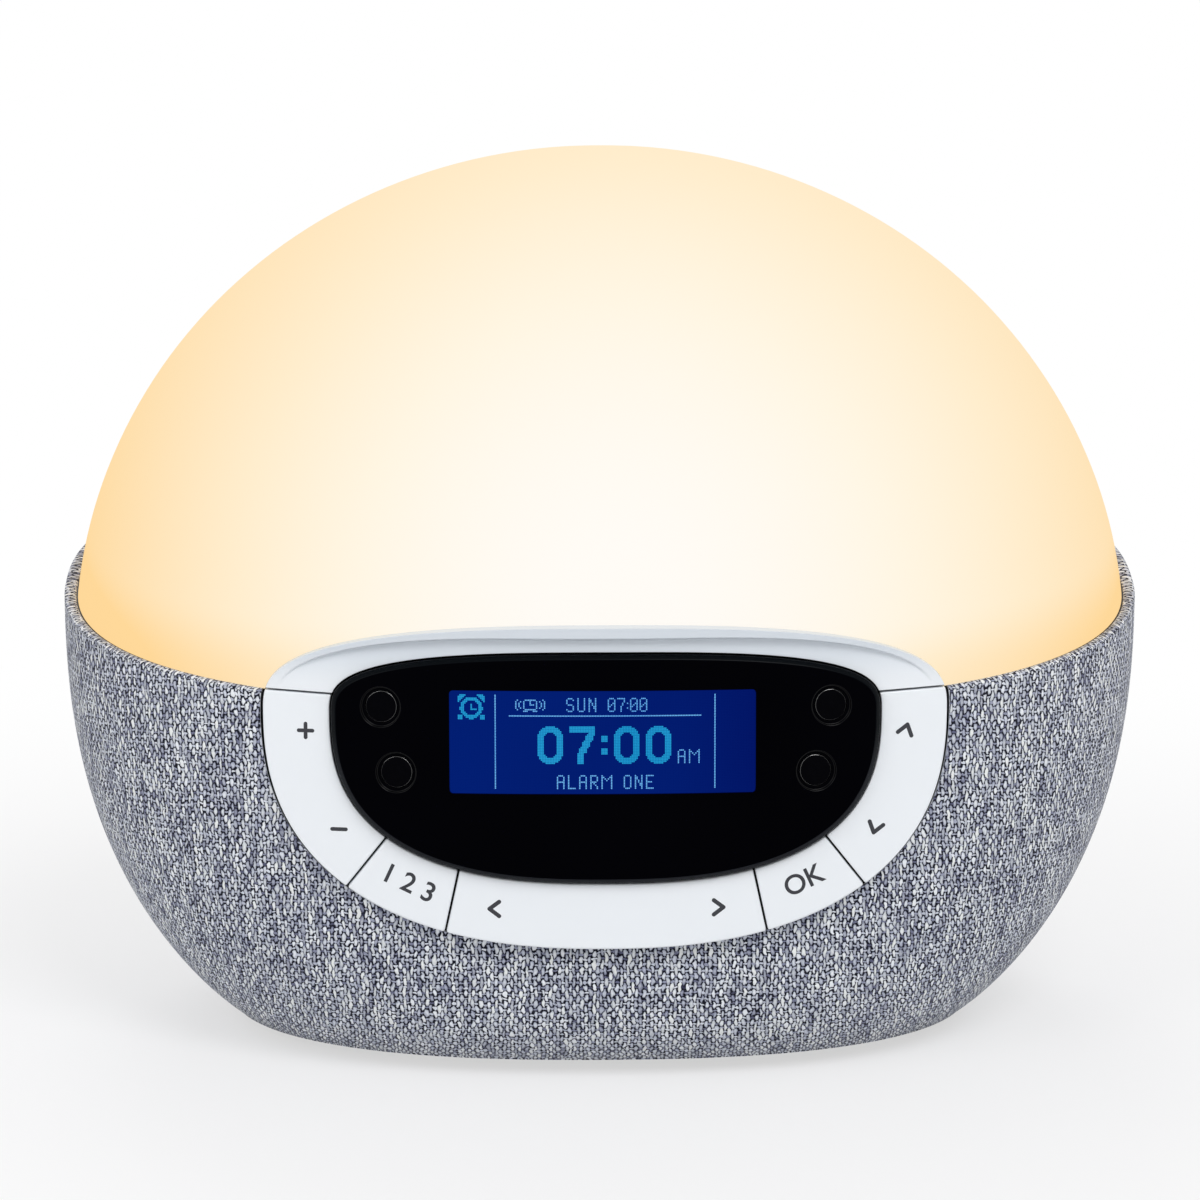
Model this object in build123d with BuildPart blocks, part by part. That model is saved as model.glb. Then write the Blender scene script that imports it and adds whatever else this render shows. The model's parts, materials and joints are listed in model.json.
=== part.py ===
"""Sunrise alarm clock: a glowing dome on a fabric-wrapped bowl, with a ring of keys round a display.

The frame: +Z up, the front faces -Y, and the origin is under the middle of the bounding box.
All lengths are in millimetres and all angles in degrees.
"""
from build123d import *
import math
import os

os.makedirs("parts", exist_ok=True)

# ---------------------------------------------------------------------------
# Driving dimensions
# ---------------------------------------------------------------------------
# Body. Every level section is a power curve: power 2 is an ellipse, more is boxier.
half_width = 105.0
half_depth = 61.0
plan_power = 2.4
foot_height = 1.6
shoulder_height = 82.0       # widest level, above the bowl's underside
side_runout = 19.3           # how far the side curve would run on below the underside
side_power = 2.4
belly_height = 45.0          # level where the front and back stop bulging
belly_runout = 3.2
belly_power = 5.0
dome_half_width = 103.0
dome_half_depth = 59.0
dome_centre_height = 72.4    # the dome's equator, above the bowl's underside
dome_rise = 97.2
dome_wall = 2.8
dome_level_angles = (-9, 2, 13, 24, 35, 46, 57, 68, 79)
bowl_level_shares = (0, 0.03, 0.085, 0.17, 0.30, 0.48, 0.73, 1.0)
seam_height = 84.7           # seam between dome and bowl at the body's axis
seam_tilt = 12.2             # the seam drops towards the front
seam_gap = 0.4
fabric_thickness = 1.2
bowl_wall = 2.4
flange_thickness = 2.4       # the screwed flanges of dome and bowl
dome_flange_width = 6.0
bowl_flange_width = 13.0

# Front panel. Its plane leans back, and its surfaces are barrels about the upward axis.
panel_forward = 62.5
panel_height = 58.0
panel_tilt = 4.0
barrel_radius = 240.0
egg_rise = 13.0              # widest level of ring and window, above the panel's centre
ring_half_width = 63.8
ring_lower = 44.2
ring_upper = 17.2
ring_lower_power = 2.44
ring_upper_power = 2.7
window_half_width = 51.0
window_lower = 31.5
window_upper = 12.1
window_lower_power = 2.65
window_upper_power = 2.9
panel_gap = 0.4              # dark hairline round the ring
key_gap = 0.4                # between neighbouring keys, and round the window

# Pocket that the bowl holds the panel in
pocket_wall = 1.8
pocket_floor = 2.0
board_depth = 17.0           # front face of the key board, below the ring's front
board_thickness = 1.6
pocket_window_width = 76.0
pocket_window_height = 24.0
pocket_window_rise = 6.0

# Keys
cap_thickness = 2.4
key_clearance = 2.0          # free space under the caps
stem_diameter = 3.0
stem_hole_gap = 0.5
key_travel = 0.5             # longest stroke of a key or a button
guide_diameter = 3.0
guide_clearance = 0.05
guide_spacing = 12.0
guide_length = 5.0
guide_head_diameter = 4.2
guide_head_height = 0.8
guide_boss_wall = 1.4
pivot_depth = 4.2
pin_diameter = 1.4
pin_length = 8.4
pin_clearance = 0.04
lug_radius = 1.5
lug_width = 3.0
lug_gap = 0.4
lug_side_gap = 0.3
pivot_block_length = 6.4      # along the key
pivot_block_top = 1.3        # above the pin's axis
pivot_block_drop = 2.8

# Carrier moulding behind the keys
carrier_gap = 0.3
plate_thickness = 1.8
carrier_wall = 1.6
seat_width = 1.8
boss_diameter = 5.6
pilot_depth = 6.0

# Window and its four round buttons
window_proud = 2.0
window_thickness = 3.6
window_chamfer = 1.0
button_diameter = 6.0
button_clearance = 0.06
dish_diameter = 8.4
dish_depth = 0.6
button_recess = 0.7
button_flange_diameter = 8.0
button_flange_thickness = 0.8
button_flange_gap = 0.3
button_stem_diameter = 2.4

# Display
display_width = 56.4
display_height = 19.1
display_rise = 8.0
display_shift = -0.7          # the lit field sits a little left of the window's middle
lens_recess = 0.15
lens_gap = 0.1
lens_lip = 1.9
lens_lip_thickness = 1.0
glass_depth = 4.8
glass_thickness = 2.0
backlight_thickness = 3.2
frame_wall = 1.4
frame_shelf = 1.6
frame_gap = 0.1

# Switches
switch_size = 4.6
switch_height = 3.2
plunger_diameter = 2.4
plunger_height = 1.2
switch_margin = 0.2          # left between a pressed stem and its switch

# Visor
visor_rise = 3.0             # how far its top edge stands proud of the ring
lip_width = 2.6
cove_level = 0.8

# Connectors and leads
connector_width = 16.0
connector_depth = 5.0
connector_height = 4.0
connector_rise = 2.0         # place of the key board's connector, above the panel's centre
lead_setback = 5.0           # connectors' centres, behind the main board's front edge
light_lead_x = 24.0
light_lead_back = 0.0

# Light engine
tray_thickness = 2.0
tray_gap = 0.4
tray_lip_height = 5.0
tray_lip_width = 1.6
light_board_width = 112.0
light_board_depth = 46.0
light_board_thickness = 1.6
light_back = 8.0             # the light board sits this far behind the body's axis
chip_size = 3.5
chip_height = 0.9
chip_columns = 6
chip_rows = 3
chip_pitch_x = 17.0
chip_pitch_y = 14.0
spreader_thickness = 3.0
spreader_margin = 4.0

# Base
base_thickness = 2.4
base_gap = 0.3
base_screw_x = 53.0
base_screw_y = 24.0
base_boss_diameter = 8.0
base_boss_height = 14.0
rib_thickness = 2.0
rib_height = 9.0
foot_diameter = 12.0
foot_recess = 0.6
foot_x = 40.0
foot_y = 30.0

# Main board and sound
main_board_width = 80.0
main_board_depth = 44.0
main_board_back = 24.0
standoff_height = 5.0
standoff_diameter = 6.0
standoff_margin = 5.0
rear_panel_width = 84.0
rear_panel_height = 46.0
rear_panel_centre = 33.0
rear_panel_radius = 8.0
rear_panel_gap = 0.3
speaker_x = -14.0
speaker_height = 36.0
speaker_diameter = 40.0
speaker_rim = 3.0
speaker_depth = 15.0
speaker_seat = 9.0           # from the body's back to the speaker's front
seat_overlap = 0.5           # how far the speaker's ring runs into the rear wall
cone_thickness = 0.6
magnet_diameter = 24.0
magnet_thickness = 8.0
slot_width = 2.0
slot_pitch = 4.0
slot_margin = 3.0

# Supply inlet
inlet_x = 28.0
inlet_height = 8.5           # axis above the main board's top
inlet_width = 10.0
inlet_nose_diameter = 9.0
inlet_nose_gap = 0.2
inlet_bore = 5.6
inlet_bore_depth = 9.0
inlet_pin_diameter = 2.0
inlet_pin_length = 8.0
inlet_recess = 0.6
inlet_overlap = 12.0         # length of the jack's body over the main board

# Screws
screw_diameter = 2.8
screw_head_diameter = 5.2
screw_head_height = 1.6
small_screw_diameter = 2.0
small_head_diameter = 4.0
small_head_height = 1.4
screw_hole_gap = 0.2         # added to the radius of a hole that a screw passes
dome_pilot_depth = 1.8
dome_screw_angles = (-14.0, 40.0, 140.0, 194.0)

# ---------------------------------------------------------------------------
# Places worked out from the driving dimensions
# ---------------------------------------------------------------------------
tilt = math.radians(panel_tilt)
front_reach = panel_forward + window_proud * math.cos(tilt) + (window_lower - egg_rise) * math.sin(tilt)
body_y = (front_reach - half_depth) / 2
floor_z = foot_height
loft_top = seam_height + half_depth * math.tan(math.radians(seam_tilt)) + 2 * flange_thickness
cut_span = 4 * half_width

slope = math.radians(seam_tilt)
seam = Plane(
    origin=(0, body_y, floor_z + seam_height),
    x_dir=(1, 0, 0),
    z_dir=(0, -math.sin(slope), math.cos(slope)),
)
panel = Plane(
    origin=(0, body_y - panel_forward, floor_z + panel_height),
    x_dir=(1, 0, 0),
    z_dir=(0, -math.cos(tilt), math.sin(tilt)),
)
across = Plane(origin=panel.origin, x_dir=panel.x_dir, z_dir=panel.y_dir)

plate_top = -(cap_thickness + key_clearance)
plate_bottom = plate_top - plate_thickness
window_back = window_proud - window_thickness
pocket_depth = board_depth + board_thickness + pocket_floor
switch_top = board_depth - switch_height - plunger_height
stem_end = switch_top - key_travel - switch_margin
dome_hole_half_width = dome_half_width - dome_wall - dome_flange_width
dome_hole_half_depth = dome_half_depth - dome_wall - dome_flange_width
panel_reach = ring_half_width + 6 * panel_gap + pocket_wall


def power_point(angle, half_u, half_v, power):
    """Point of a power curve, with the axes' halves half_u and half_v."""
    c = math.cos(angle)
    s = math.sin(angle)
    u = math.copysign(abs(c) ** (2 / power), c) * half_u
    v = math.copysign(abs(s) ** (2 / power), s) * half_v
    return (u, v)


def plan_curve(half_u, half_v, count=20):
    """Closed level section of the body."""
    angles = [math.pi / 2 + 2 * math.pi * i / count for i in range(count)]
    Spline(*[power_point(a, half_u, half_v, plan_power) for a in angles], periodic=True)


def panel_curve(half_u, lower, upper, lower_power, upper_power, count=28):
    """Closed outline on the panel, with its own curve above and below the widest level."""
    points = []
    for i in range(count):
        angle = math.pi / 2 + 2 * math.pi * i / count
        if math.sin(angle) > 0:
            u, v = power_point(angle, half_u, upper, upper_power)
        else:
            u, v = power_point(angle, half_u, lower, lower_power)
        points.append((u, v + egg_rise))
    Spline(*points, periodic=True)


def ring_curve(inset):
    """Outline of the key ring, moved inwards by inset."""
    panel_curve(
        ring_half_width - inset, ring_lower - inset, ring_upper - inset,
        ring_lower_power, ring_upper_power,
    )


def window_curve(inset):
    """Outline of the window, moved inwards by inset."""
    panel_curve(
        window_half_width - inset, window_lower - inset, window_upper - inset,
        window_lower_power, window_upper_power,
    )


def bowl_half_width(height):
    below = max(shoulder_height - height, 0) / (shoulder_height + side_runout)
    return half_width * (1 - below ** side_power) ** (1 / side_power)


def bowl_half_depth(height):
    below = max(belly_height - height, 0) / (belly_height + belly_runout)
    return half_depth * (1 - below ** belly_power) ** (1 / belly_power)


def bowl_solid(inset):
    """The bowl's outer shape, filled, with its sides moved inwards by inset."""
    heights = [share * shoulder_height for share in bowl_level_shares] + [loft_top]
    with BuildPart() as solid:
        for height in heights:
            with BuildSketch(Plane(origin=(0, body_y, floor_z + height))):
                with BuildLine():
                    plan_curve(bowl_half_width(height) - inset, bowl_half_depth(height) - inset)
                make_face()
        loft()
    return solid.part


def dome_solid(inset):
    """The dome's outer shape, filled, with every wall moved inwards by inset."""
    rise = dome_rise - inset
    base_z = floor_z + dome_centre_height
    with BuildPart() as solid:
        for degrees in dome_level_angles:
            angle = math.radians(degrees)
            with BuildSketch(Plane(origin=(0, body_y, base_z + rise * math.sin(angle)))):
                with BuildLine():
                    plan_curve(
                        (dome_half_width - inset) * math.cos(angle),
                        (dome_half_depth - inset) * math.cos(angle),
                    )
                make_face()
        loft(sections=list(solid.pending_faces) + [Vertex(0, body_y, base_z + rise)])
    return solid.part


def cut_at(solid, plane, keep_below):
    """The part of a solid on one side of a plane."""
    with BuildPart() as piece:
        add(solid)
        with BuildSketch(plane):
            Rectangle(cut_span, cut_span)
        extrude(amount=cut_span if keep_below else -cut_span, mode=Mode.SUBTRACT)
    return piece.part


def barrel_drop(u):
    """How far the ring's front surface falls back, sideways from the middle."""
    return barrel_radius - math.sqrt(barrel_radius ** 2 - u ** 2)


def barrel_profile(top, bottom):
    """Section between two barrel surfaces, top and bottom being levels over the ring's front."""
    ends = []
    for level in (top, bottom):
        radius = barrel_radius + level
        depth = barrel_radius - math.sqrt(radius ** 2 - panel_reach ** 2)
        arc = ThreePointArc((-panel_reach, depth), (0, -level), (panel_reach, depth))
        ends.append((arc @ 0, arc @ 1))
    Line(ends[0][0], ends[1][0])
    Line(ends[0][1], ends[1][1])


def barrel_slab(top, bottom, plane=across):
    """Curved slab between two levels over the ring's front, larger than the panel."""
    with BuildPart() as slab:
        with BuildSketch(plane):
            with BuildLine():
                barrel_profile(top, bottom)
            make_face()
        extrude(amount=panel_reach, both=True)
    return slab.part


def level(height):
    """Plane parallel to the panel, at a height over the ring's front at its middle."""
    return panel.offset(height)


def tangent_plane(u, v, turn):
    """Plane that touches the ring's front at (u, v), its x axis turned anticlockwise."""
    lean = math.asin(u / barrel_radius)
    outward = panel.z_dir * math.cos(lean) + panel.x_dir * math.sin(lean)
    sideways = panel.x_dir * math.cos(lean) - panel.z_dir * math.sin(lean)
    angle = math.radians(turn)
    return Plane(
        origin=panel.from_local_coords((u, v, -barrel_drop(u))),
        x_dir=sideways * math.cos(angle) + panel.y_dir * math.sin(angle),
        z_dir=outward,
    )


def pin_plane(pivot):
    """Plane across a hinge pin: its z axis is the pin's, its y axis points out of the panel."""
    return Plane(
        origin=pivot.from_local_coords((0, 0, -pivot_depth)),
        x_dir=pivot.y_dir,
        z_dir=pivot.x_dir,
    )


def finish(builder, name):
    builder.part.label = name
    export_step(builder.part, "parts/" + name + ".step")


# ---------------------------------------------------------------------------
# The ring's division lines, from the window outwards, on the right-hand side
# ---------------------------------------------------------------------------
visor_line = ((50.5, 16.2), (63.4, 16.8))
corner_line = ((40.9, -10.6), (48.45, -20.2))
foot_line = ((27.5, -16.85), (30.05, -28.5))
line_overrun = 10.0


def line_ends(line, shift, side):
    """Both ends of a division line, overrun, shifted towards the visor and put on one side."""
    (u0, v0), (u1, v1) = line
    length = math.hypot(u1 - u0, v1 - v0)
    du = (u1 - u0) / length
    dv = (v1 - v0) / length
    inner = (u0 - line_overrun * du - shift * dv, v0 - line_overrun * dv + shift * du)
    outer = (u1 + line_overrun * du - shift * dv, v1 + line_overrun * dv + shift * du)
    return [(side * inner[0], inner[1]), (side * outer[0], outer[1])]


def key_sector(lower_line, upper_line, side):
    """Wedge of one key between two division lines, with half a gap at each."""
    lower = line_ends(lower_line, key_gap / 2, side)
    upper = line_ends(upper_line, -key_gap / 2, side)
    return [lower[0], lower[1], upper[1], upper[0]]


def bottom_sector():
    right = line_ends(foot_line, -key_gap / 2, 1)
    left = line_ends(foot_line, -key_gap / 2, -1)
    return [right[0], right[1], left[1], left[0]]


def key_cap(sector):
    """Curved cap of one key, cut from the ring."""
    with BuildPart() as cap:
        add(barrel_slab(0, -cap_thickness))
        with BuildSketch(panel):
            with BuildLine():
                ring_curve(0)
            make_face()
            with BuildLine():
                window_curve(-key_gap)
            make_face(mode=Mode.SUBTRACT)
            with BuildLine():
                Polyline(*sector, close=True)
            make_face(mode=Mode.INTERSECT)
        extrude(amount=panel_reach, both=True, mode=Mode.INTERSECT)
    return cap.part


# Switch places under the keys, right-hand side: (u, v)
side_upper_switch = (55.4, 9.2)
side_lower_switch = (49.6, -9.2)
corner_switch = (36.8, -19.4)
foot_switch = (20.9, -23.8)
side_pivot = (54.8, 0.6)
side_pivot_turn = -18.0
foot_pivot = (0.0, -24.9)
corner_turn = 26.0
upper_button = (41.4, 14.3)
lower_button = (38.6, 2.1)
upper_boss = (46.0, 22.0)
lower_boss = (14.0, -12.6)

side_names = {-1: "brightness_rocker", 1: "navigation_rocker"}
corner_names = {-1: "preset_key", 1: "select_key"}
button_names = {
    (-1, upper_button): "button_upper_left",
    (-1, lower_button): "button_lower_left",
    (1, upper_button): "button_upper_right",
    (1, lower_button): "button_lower_right",
}
pivots = [tangent_plane(side * side_pivot[0], side_pivot[1], side * side_pivot_turn) for side in (-1, 1)]
pivots.append(tangent_plane(foot_pivot[0], foot_pivot[1], 90))
boss_places = [(side * u, v) for side in (-1, 1) for u, v in (upper_boss, lower_boss)]
rocker_switches = [
    (side * u, v) for side in (-1, 1) for u, v in (side_upper_switch, side_lower_switch, foot_switch)
]
corner_switches = [(side * corner_switch[0], corner_switch[1]) for side in (-1, 1)]
button_places = [(side * u, v) for side in (-1, 1) for u, v in (upper_button, lower_button)]


def guide_places(side):
    """The two guide posts of a corner key, along the ring on both sides of its switch."""
    angle = math.radians(corner_turn)
    places = []
    for step in (-guide_spacing / 2, guide_spacing / 2):
        u = corner_switch[0] + step * math.cos(angle)
        v = corner_switch[1] + step * math.sin(angle)
        places.append((side * u, v))
    return places


# ---------------------------------------------------------------------------
# Shapes that several pieces are cut with
# ---------------------------------------------------------------------------
bowl_outer = bowl_solid(0)
bowl_skin = bowl_solid(fabric_thickness)
bowl_inner = bowl_solid(fabric_thickness + bowl_wall)
rib_limit = bowl_solid(fabric_thickness + bowl_wall / 2)
dome_outer = dome_solid(0)
dome_inner = dome_solid(dome_wall)
pocket_limit = dome_solid(dome_wall + panel_gap)

seam_top = seam.offset(seam_gap / 2)
seam_bottom = seam.offset(-seam_gap / 2)
dome_screw_plane = seam_bottom.offset(-flange_thickness)
dome_screw_places = [
    power_point(
        math.radians(angle),
        dome_hole_half_width + dome_flange_width / 2,
        dome_hole_half_depth + dome_flange_width / 2,
        plan_power,
    )
    for angle in dome_screw_angles
]

with BuildPart() as panel_opening:
    with BuildSketch(level(-(board_depth + board_thickness))):
        with BuildLine():
            ring_curve(-panel_gap)
        make_face()
    extrude(amount=2 * board_depth)

with BuildPart() as pocket_clear:
    with BuildSketch(level(-pocket_depth - small_head_height - panel_gap)):
        with BuildLine():
            ring_curve(-(2 * panel_gap + pocket_wall))
        make_face()
    extrude(amount=2 * board_depth)

rear_plane = Plane(
    origin=(0, body_y, floor_z + rear_panel_centre), x_dir=(-1, 0, 0), z_dir=(0, 1, 0)
)
with BuildPart() as rear_opening:
    with BuildSketch(rear_plane):
        RectangleRounded(rear_panel_width, rear_panel_height, rear_panel_radius)
    extrude(amount=2 * half_depth)

# ---------------------------------------------------------------------------
# Fabric wrap: a woven sleeve round the bowl
# ---------------------------------------------------------------------------
with BuildPart() as fabric_wrap:
    add(cut_at(bowl_outer, seam_bottom, True))
    add(bowl_skin, mode=Mode.SUBTRACT)
    add(panel_opening.part, mode=Mode.SUBTRACT)
    add(rear_opening.part, mode=Mode.SUBTRACT)
finish(fabric_wrap, "fabric_wrap")

# ---------------------------------------------------------------------------
# Bowl: shell, top flange, panel pocket and screw bosses
# ---------------------------------------------------------------------------
bowl_core = cut_at(bowl_skin, seam_bottom, True)
bowl_hollow = cut_at(bowl_inner, seam_bottom.offset(-flange_thickness), True)

with BuildPart() as pocket:
    with BuildSketch(level(-pocket_depth)):
        with BuildLine():
            ring_curve(-(panel_gap + pocket_wall))
        make_face()
    extrude(amount=2 * board_depth)
    add(panel_opening.part, mode=Mode.SUBTRACT)
    with BuildSketch(level(-pocket_depth)):
        with Locations((0, pocket_window_rise)):
            Rectangle(pocket_window_width, pocket_window_height)
    extrude(amount=pocket_floor, mode=Mode.SUBTRACT)
    with BuildSketch(level(-pocket_depth)):
        with Locations(*boss_places):
            Circle(small_screw_diameter / 2 + screw_hole_gap)
    extrude(amount=pocket_floor, mode=Mode.SUBTRACT)

with BuildPart() as pocket_low:
    add(pocket.part)
    add(bowl_core, mode=Mode.INTERSECT)

with BuildPart() as pocket_high:
    add(pocket.part)
    add(pocket_limit, mode=Mode.INTERSECT)

base_corners = [(sx * base_screw_x, sy * base_screw_y) for sx in (-1, 1) for sy in (-1, 1)]
boss_base = Plane(origin=(0, body_y, floor_z + base_thickness))

with BuildPart() as base_ribs:
    with BuildSketch(boss_base.offset(base_boss_height - rib_height)):
        for x, y in base_corners:
            with Locations((x + math.copysign(half_width / 4, x), y)):
                Rectangle(half_width / 2, rib_thickness)
    extrude(amount=rib_height)
    add(rib_limit, mode=Mode.INTERSECT)

with BuildPart() as base_bowl:
    add(bowl_core)
    add(bowl_hollow, mode=Mode.SUBTRACT)
    with BuildSketch(seam):
        with BuildLine():
            plan_curve(half_width - bowl_flange_width, half_depth - bowl_flange_width)
        make_face()
    extrude(amount=-3 * flange_thickness, mode=Mode.SUBTRACT)
    with BuildSketch(dome_screw_plane):
        with Locations(*dome_screw_places):
            Circle(screw_diameter / 2 + screw_hole_gap)
    extrude(amount=2 * flange_thickness, mode=Mode.SUBTRACT)
    add(pocket_low.part)
    add(pocket_high.part)
    add(panel_opening.part, mode=Mode.SUBTRACT)
    add(rear_opening.part, mode=Mode.SUBTRACT)
    add(base_ribs.part)
    with BuildSketch(boss_base):
        with Locations(*base_corners):
            Circle(base_boss_diameter / 2)
    extrude(amount=base_boss_height)
    with BuildSketch(boss_base):
        with Locations(*base_corners):
            Circle(screw_diameter / 2)
    extrude(amount=base_boss_height - bowl_wall, mode=Mode.SUBTRACT)
finish(base_bowl, "base_bowl")

# ---------------------------------------------------------------------------
# Dome: translucent shell with an inward flange at the seam
# ---------------------------------------------------------------------------
dome_hollow = cut_at(dome_inner, seam_top.offset(flange_thickness), False)

with BuildPart() as flange_notch:
    add(pocket_clear.part)
    add(dome_inner, mode=Mode.INTERSECT)

with BuildPart() as dome_diffuser:
    add(cut_at(dome_outer, seam_top, False))
    add(dome_hollow, mode=Mode.SUBTRACT)
    with BuildSketch(seam):
        with BuildLine():
            plan_curve(dome_hole_half_width, dome_hole_half_depth)
        make_face()
    extrude(amount=3 * flange_thickness, mode=Mode.SUBTRACT)
    add(flange_notch.part, mode=Mode.SUBTRACT)
    add(panel_opening.part, mode=Mode.SUBTRACT)
    with BuildSketch(seam_top):
        with Locations(*dome_screw_places):
            Circle(screw_diameter / 2)
    extrude(amount=dome_pilot_depth, mode=Mode.SUBTRACT)
finish(dome_diffuser, "dome_diffuser")

# ---------------------------------------------------------------------------
# Keys: three rockers on hinge pins and two push keys on guide posts
# ---------------------------------------------------------------------------
def rocker(cap, pivot, switches):
    """Cap with a hinge lug in the middle and a stem over each switch."""
    with BuildPart() as key:
        add(cap)
        with BuildSketch(pin_plane(pivot)):
            Circle(lug_radius)
            Rectangle(2 * lug_radius, pivot_depth - cap_thickness / 2, align=(Align.CENTER, Align.MIN))
            Circle(pin_diameter / 2 + pin_clearance, mode=Mode.SUBTRACT)
        extrude(amount=lug_width / 2, both=True)
        for u, v in switches:
            top = barrel_drop(u) + cap_thickness / 2
            with BuildSketch(level(-top)):
                with Locations((u, v)):
                    Circle(stem_diameter / 2)
            extrude(amount=-(stem_end - top))
    return key


for side, pivot in zip((-1, 1), pivots):
    places = [(side * u, v) for u, v in (side_upper_switch, side_lower_switch)]
    side_rocker = rocker(key_cap(key_sector(corner_line, visor_line, side)), pivot, places)
    finish(side_rocker, side_names[side])

volume_places = [(side * foot_switch[0], foot_switch[1]) for side in (-1, 1)]
volume_rocker = rocker(key_cap(bottom_sector()), pivots[2], volume_places)
finish(volume_rocker, "volume_rocker")

guide_end = barrel_drop(corner_switch[0]) - plate_bottom + guide_length

for side in (-1, 1):
    with BuildPart() as push_key:
        add(key_cap(key_sector(foot_line, corner_line, side)))
        root = barrel_drop(corner_switch[0]) + cap_thickness / 2
        with BuildSketch(level(-root)):
            with Locations((side * corner_switch[0], corner_switch[1])):
                Circle(stem_diameter / 2)
        extrude(amount=-(stem_end - root))
        with BuildSketch(level(-root)):
            with Locations(*guide_places(side)):
                Circle(guide_diameter / 2)
        extrude(amount=-(guide_end + guide_clearance - root))
        with BuildSketch(level(-guide_end - guide_clearance)):
            with Locations(*guide_places(side)):
                Circle(guide_head_diameter / 2)
        extrude(amount=-guide_head_height)
    finish(push_key, corner_names[side])

# ---------------------------------------------------------------------------
# Window: gloss black plate with a chamfered rim, a lens opening and four dished button holes
# ---------------------------------------------------------------------------
button_planes = [tangent_plane(u, v, 0) for u, v in button_places]
lens_bottom = window_back - lens_lip_thickness

with BuildPart() as display_window:
    add(barrel_slab(window_proud, window_back))
    with BuildSketch(panel):
        with BuildLine():
            window_curve(0)
        make_face()
    extrude(amount=panel_reach, both=True, mode=Mode.INTERSECT)
    front = display_window.faces().sort_by(Axis(panel.origin, panel.z_dir))[-1]
    chamfer(front.edges(), length=window_chamfer)
    with BuildSketch(level(window_back - barrel_drop(display_width))):
        with Locations((display_shift, display_rise)):
            Rectangle(display_width + 2 * lens_gap, display_height + 2 * lens_gap)
    extrude(amount=panel_reach, mode=Mode.SUBTRACT)
    for plane in button_planes:
        with BuildSketch(plane.offset(window_back - window_thickness)):
            Circle(button_diameter / 2 + button_clearance)
        extrude(amount=3 * window_thickness, mode=Mode.SUBTRACT)
        with BuildSketch(plane.offset(window_proud - dish_depth)):
            Circle(dish_diameter / 2)
        extrude(amount=window_thickness, mode=Mode.SUBTRACT)
finish(display_window, "display_window")


def button_stem_length(u):
    """From the ring's surface to the end of a round button's stem, along the button."""
    lean = math.asin(u / barrel_radius)
    return (stem_end - barrel_drop(u)) / math.cos(lean)


def button_switch(u, v):
    """Place of the switch that a round button's stem points at."""
    return (u - button_stem_length(u) * u / barrel_radius, v)


for plane, (u, v) in zip(button_planes, button_places):
    with BuildPart() as round_button:
        with BuildSketch(plane.offset(window_proud - button_recess)):
            Circle(button_diameter / 2)
        extrude(amount=-(window_thickness - button_recess + button_flange_gap))
        with BuildSketch(plane.offset(window_back - button_flange_gap)):
            Circle(button_flange_diameter / 2)
        extrude(amount=-button_flange_thickness)
        with BuildSketch(plane.offset(window_back - button_flange_gap)):
            Circle(button_stem_diameter / 2)
        extrude(amount=-(button_stem_length(abs(u)) + window_back - button_flange_gap))
    finish(round_button, button_names[(int(math.copysign(1, u)), (abs(u), v))])

# ---------------------------------------------------------------------------
# Display: curved lens, liquid crystal glass, backlight and the frame that holds them
# ---------------------------------------------------------------------------
frame_width = display_width + 2 * lens_lip
frame_height = display_height + 2 * lens_lip
glass_width = frame_width - 2 * frame_wall - 2 * frame_gap
glass_height = frame_height - 2 * frame_wall - 2 * frame_gap
backlight_back = glass_depth + glass_thickness + backlight_thickness


def display_block(width, height, back, front):
    """Rectangular block behind the display, between two depths below the ring's front."""
    with BuildPart() as block:
        with BuildSketch(level(-back)):
            with Locations((display_shift, display_rise)):
                Rectangle(width, height)
        extrude(amount=back - front)
    return block.part


with BuildPart() as display_lens:
    add(barrel_slab(window_proud - lens_recess, lens_bottom))
    add(display_block(display_width, display_height, board_depth, -board_depth), mode=Mode.INTERSECT)
with BuildPart() as lens_rim:
    add(barrel_slab(window_back, lens_bottom))
    add(display_block(frame_width, frame_height, board_depth, -board_depth), mode=Mode.INTERSECT)
with display_lens:
    add(lens_rim.part)
finish(display_lens, "display_lens")

with BuildPart() as lcd_glass:
    add(display_block(glass_width, glass_height, glass_depth + glass_thickness, glass_depth))
finish(lcd_glass, "lcd_glass")

with BuildPart() as backlight_panel:
    add(display_block(glass_width, glass_height, backlight_back, glass_depth + glass_thickness))
finish(backlight_panel, "backlight_panel")

with BuildPart() as lcd_frame:
    add(display_block(frame_width, frame_height, board_depth, 0))
    inside_width = frame_width - 2 * frame_wall
    inside_height = frame_height - 2 * frame_wall
    add(display_block(inside_width, inside_height, backlight_back, 0), mode=Mode.SUBTRACT)
    shelf_width = inside_width - 2 * frame_shelf
    shelf_height = inside_height - 2 * frame_shelf
    add(display_block(shelf_width, shelf_height, board_depth, 0), mode=Mode.SUBTRACT)
    add(barrel_slab(lens_bottom, -2 * board_depth), mode=Mode.INTERSECT)
finish(lcd_frame, "lcd_frame")

# ---------------------------------------------------------------------------
# Carrier: barrel plate behind the keys, with the window seat, hinges, guides and screw bosses
# ---------------------------------------------------------------------------
carrier_inset = carrier_gap - panel_gap
stem_places = rocker_switches + corner_switches
guides = guide_places(-1) + guide_places(1)

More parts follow.
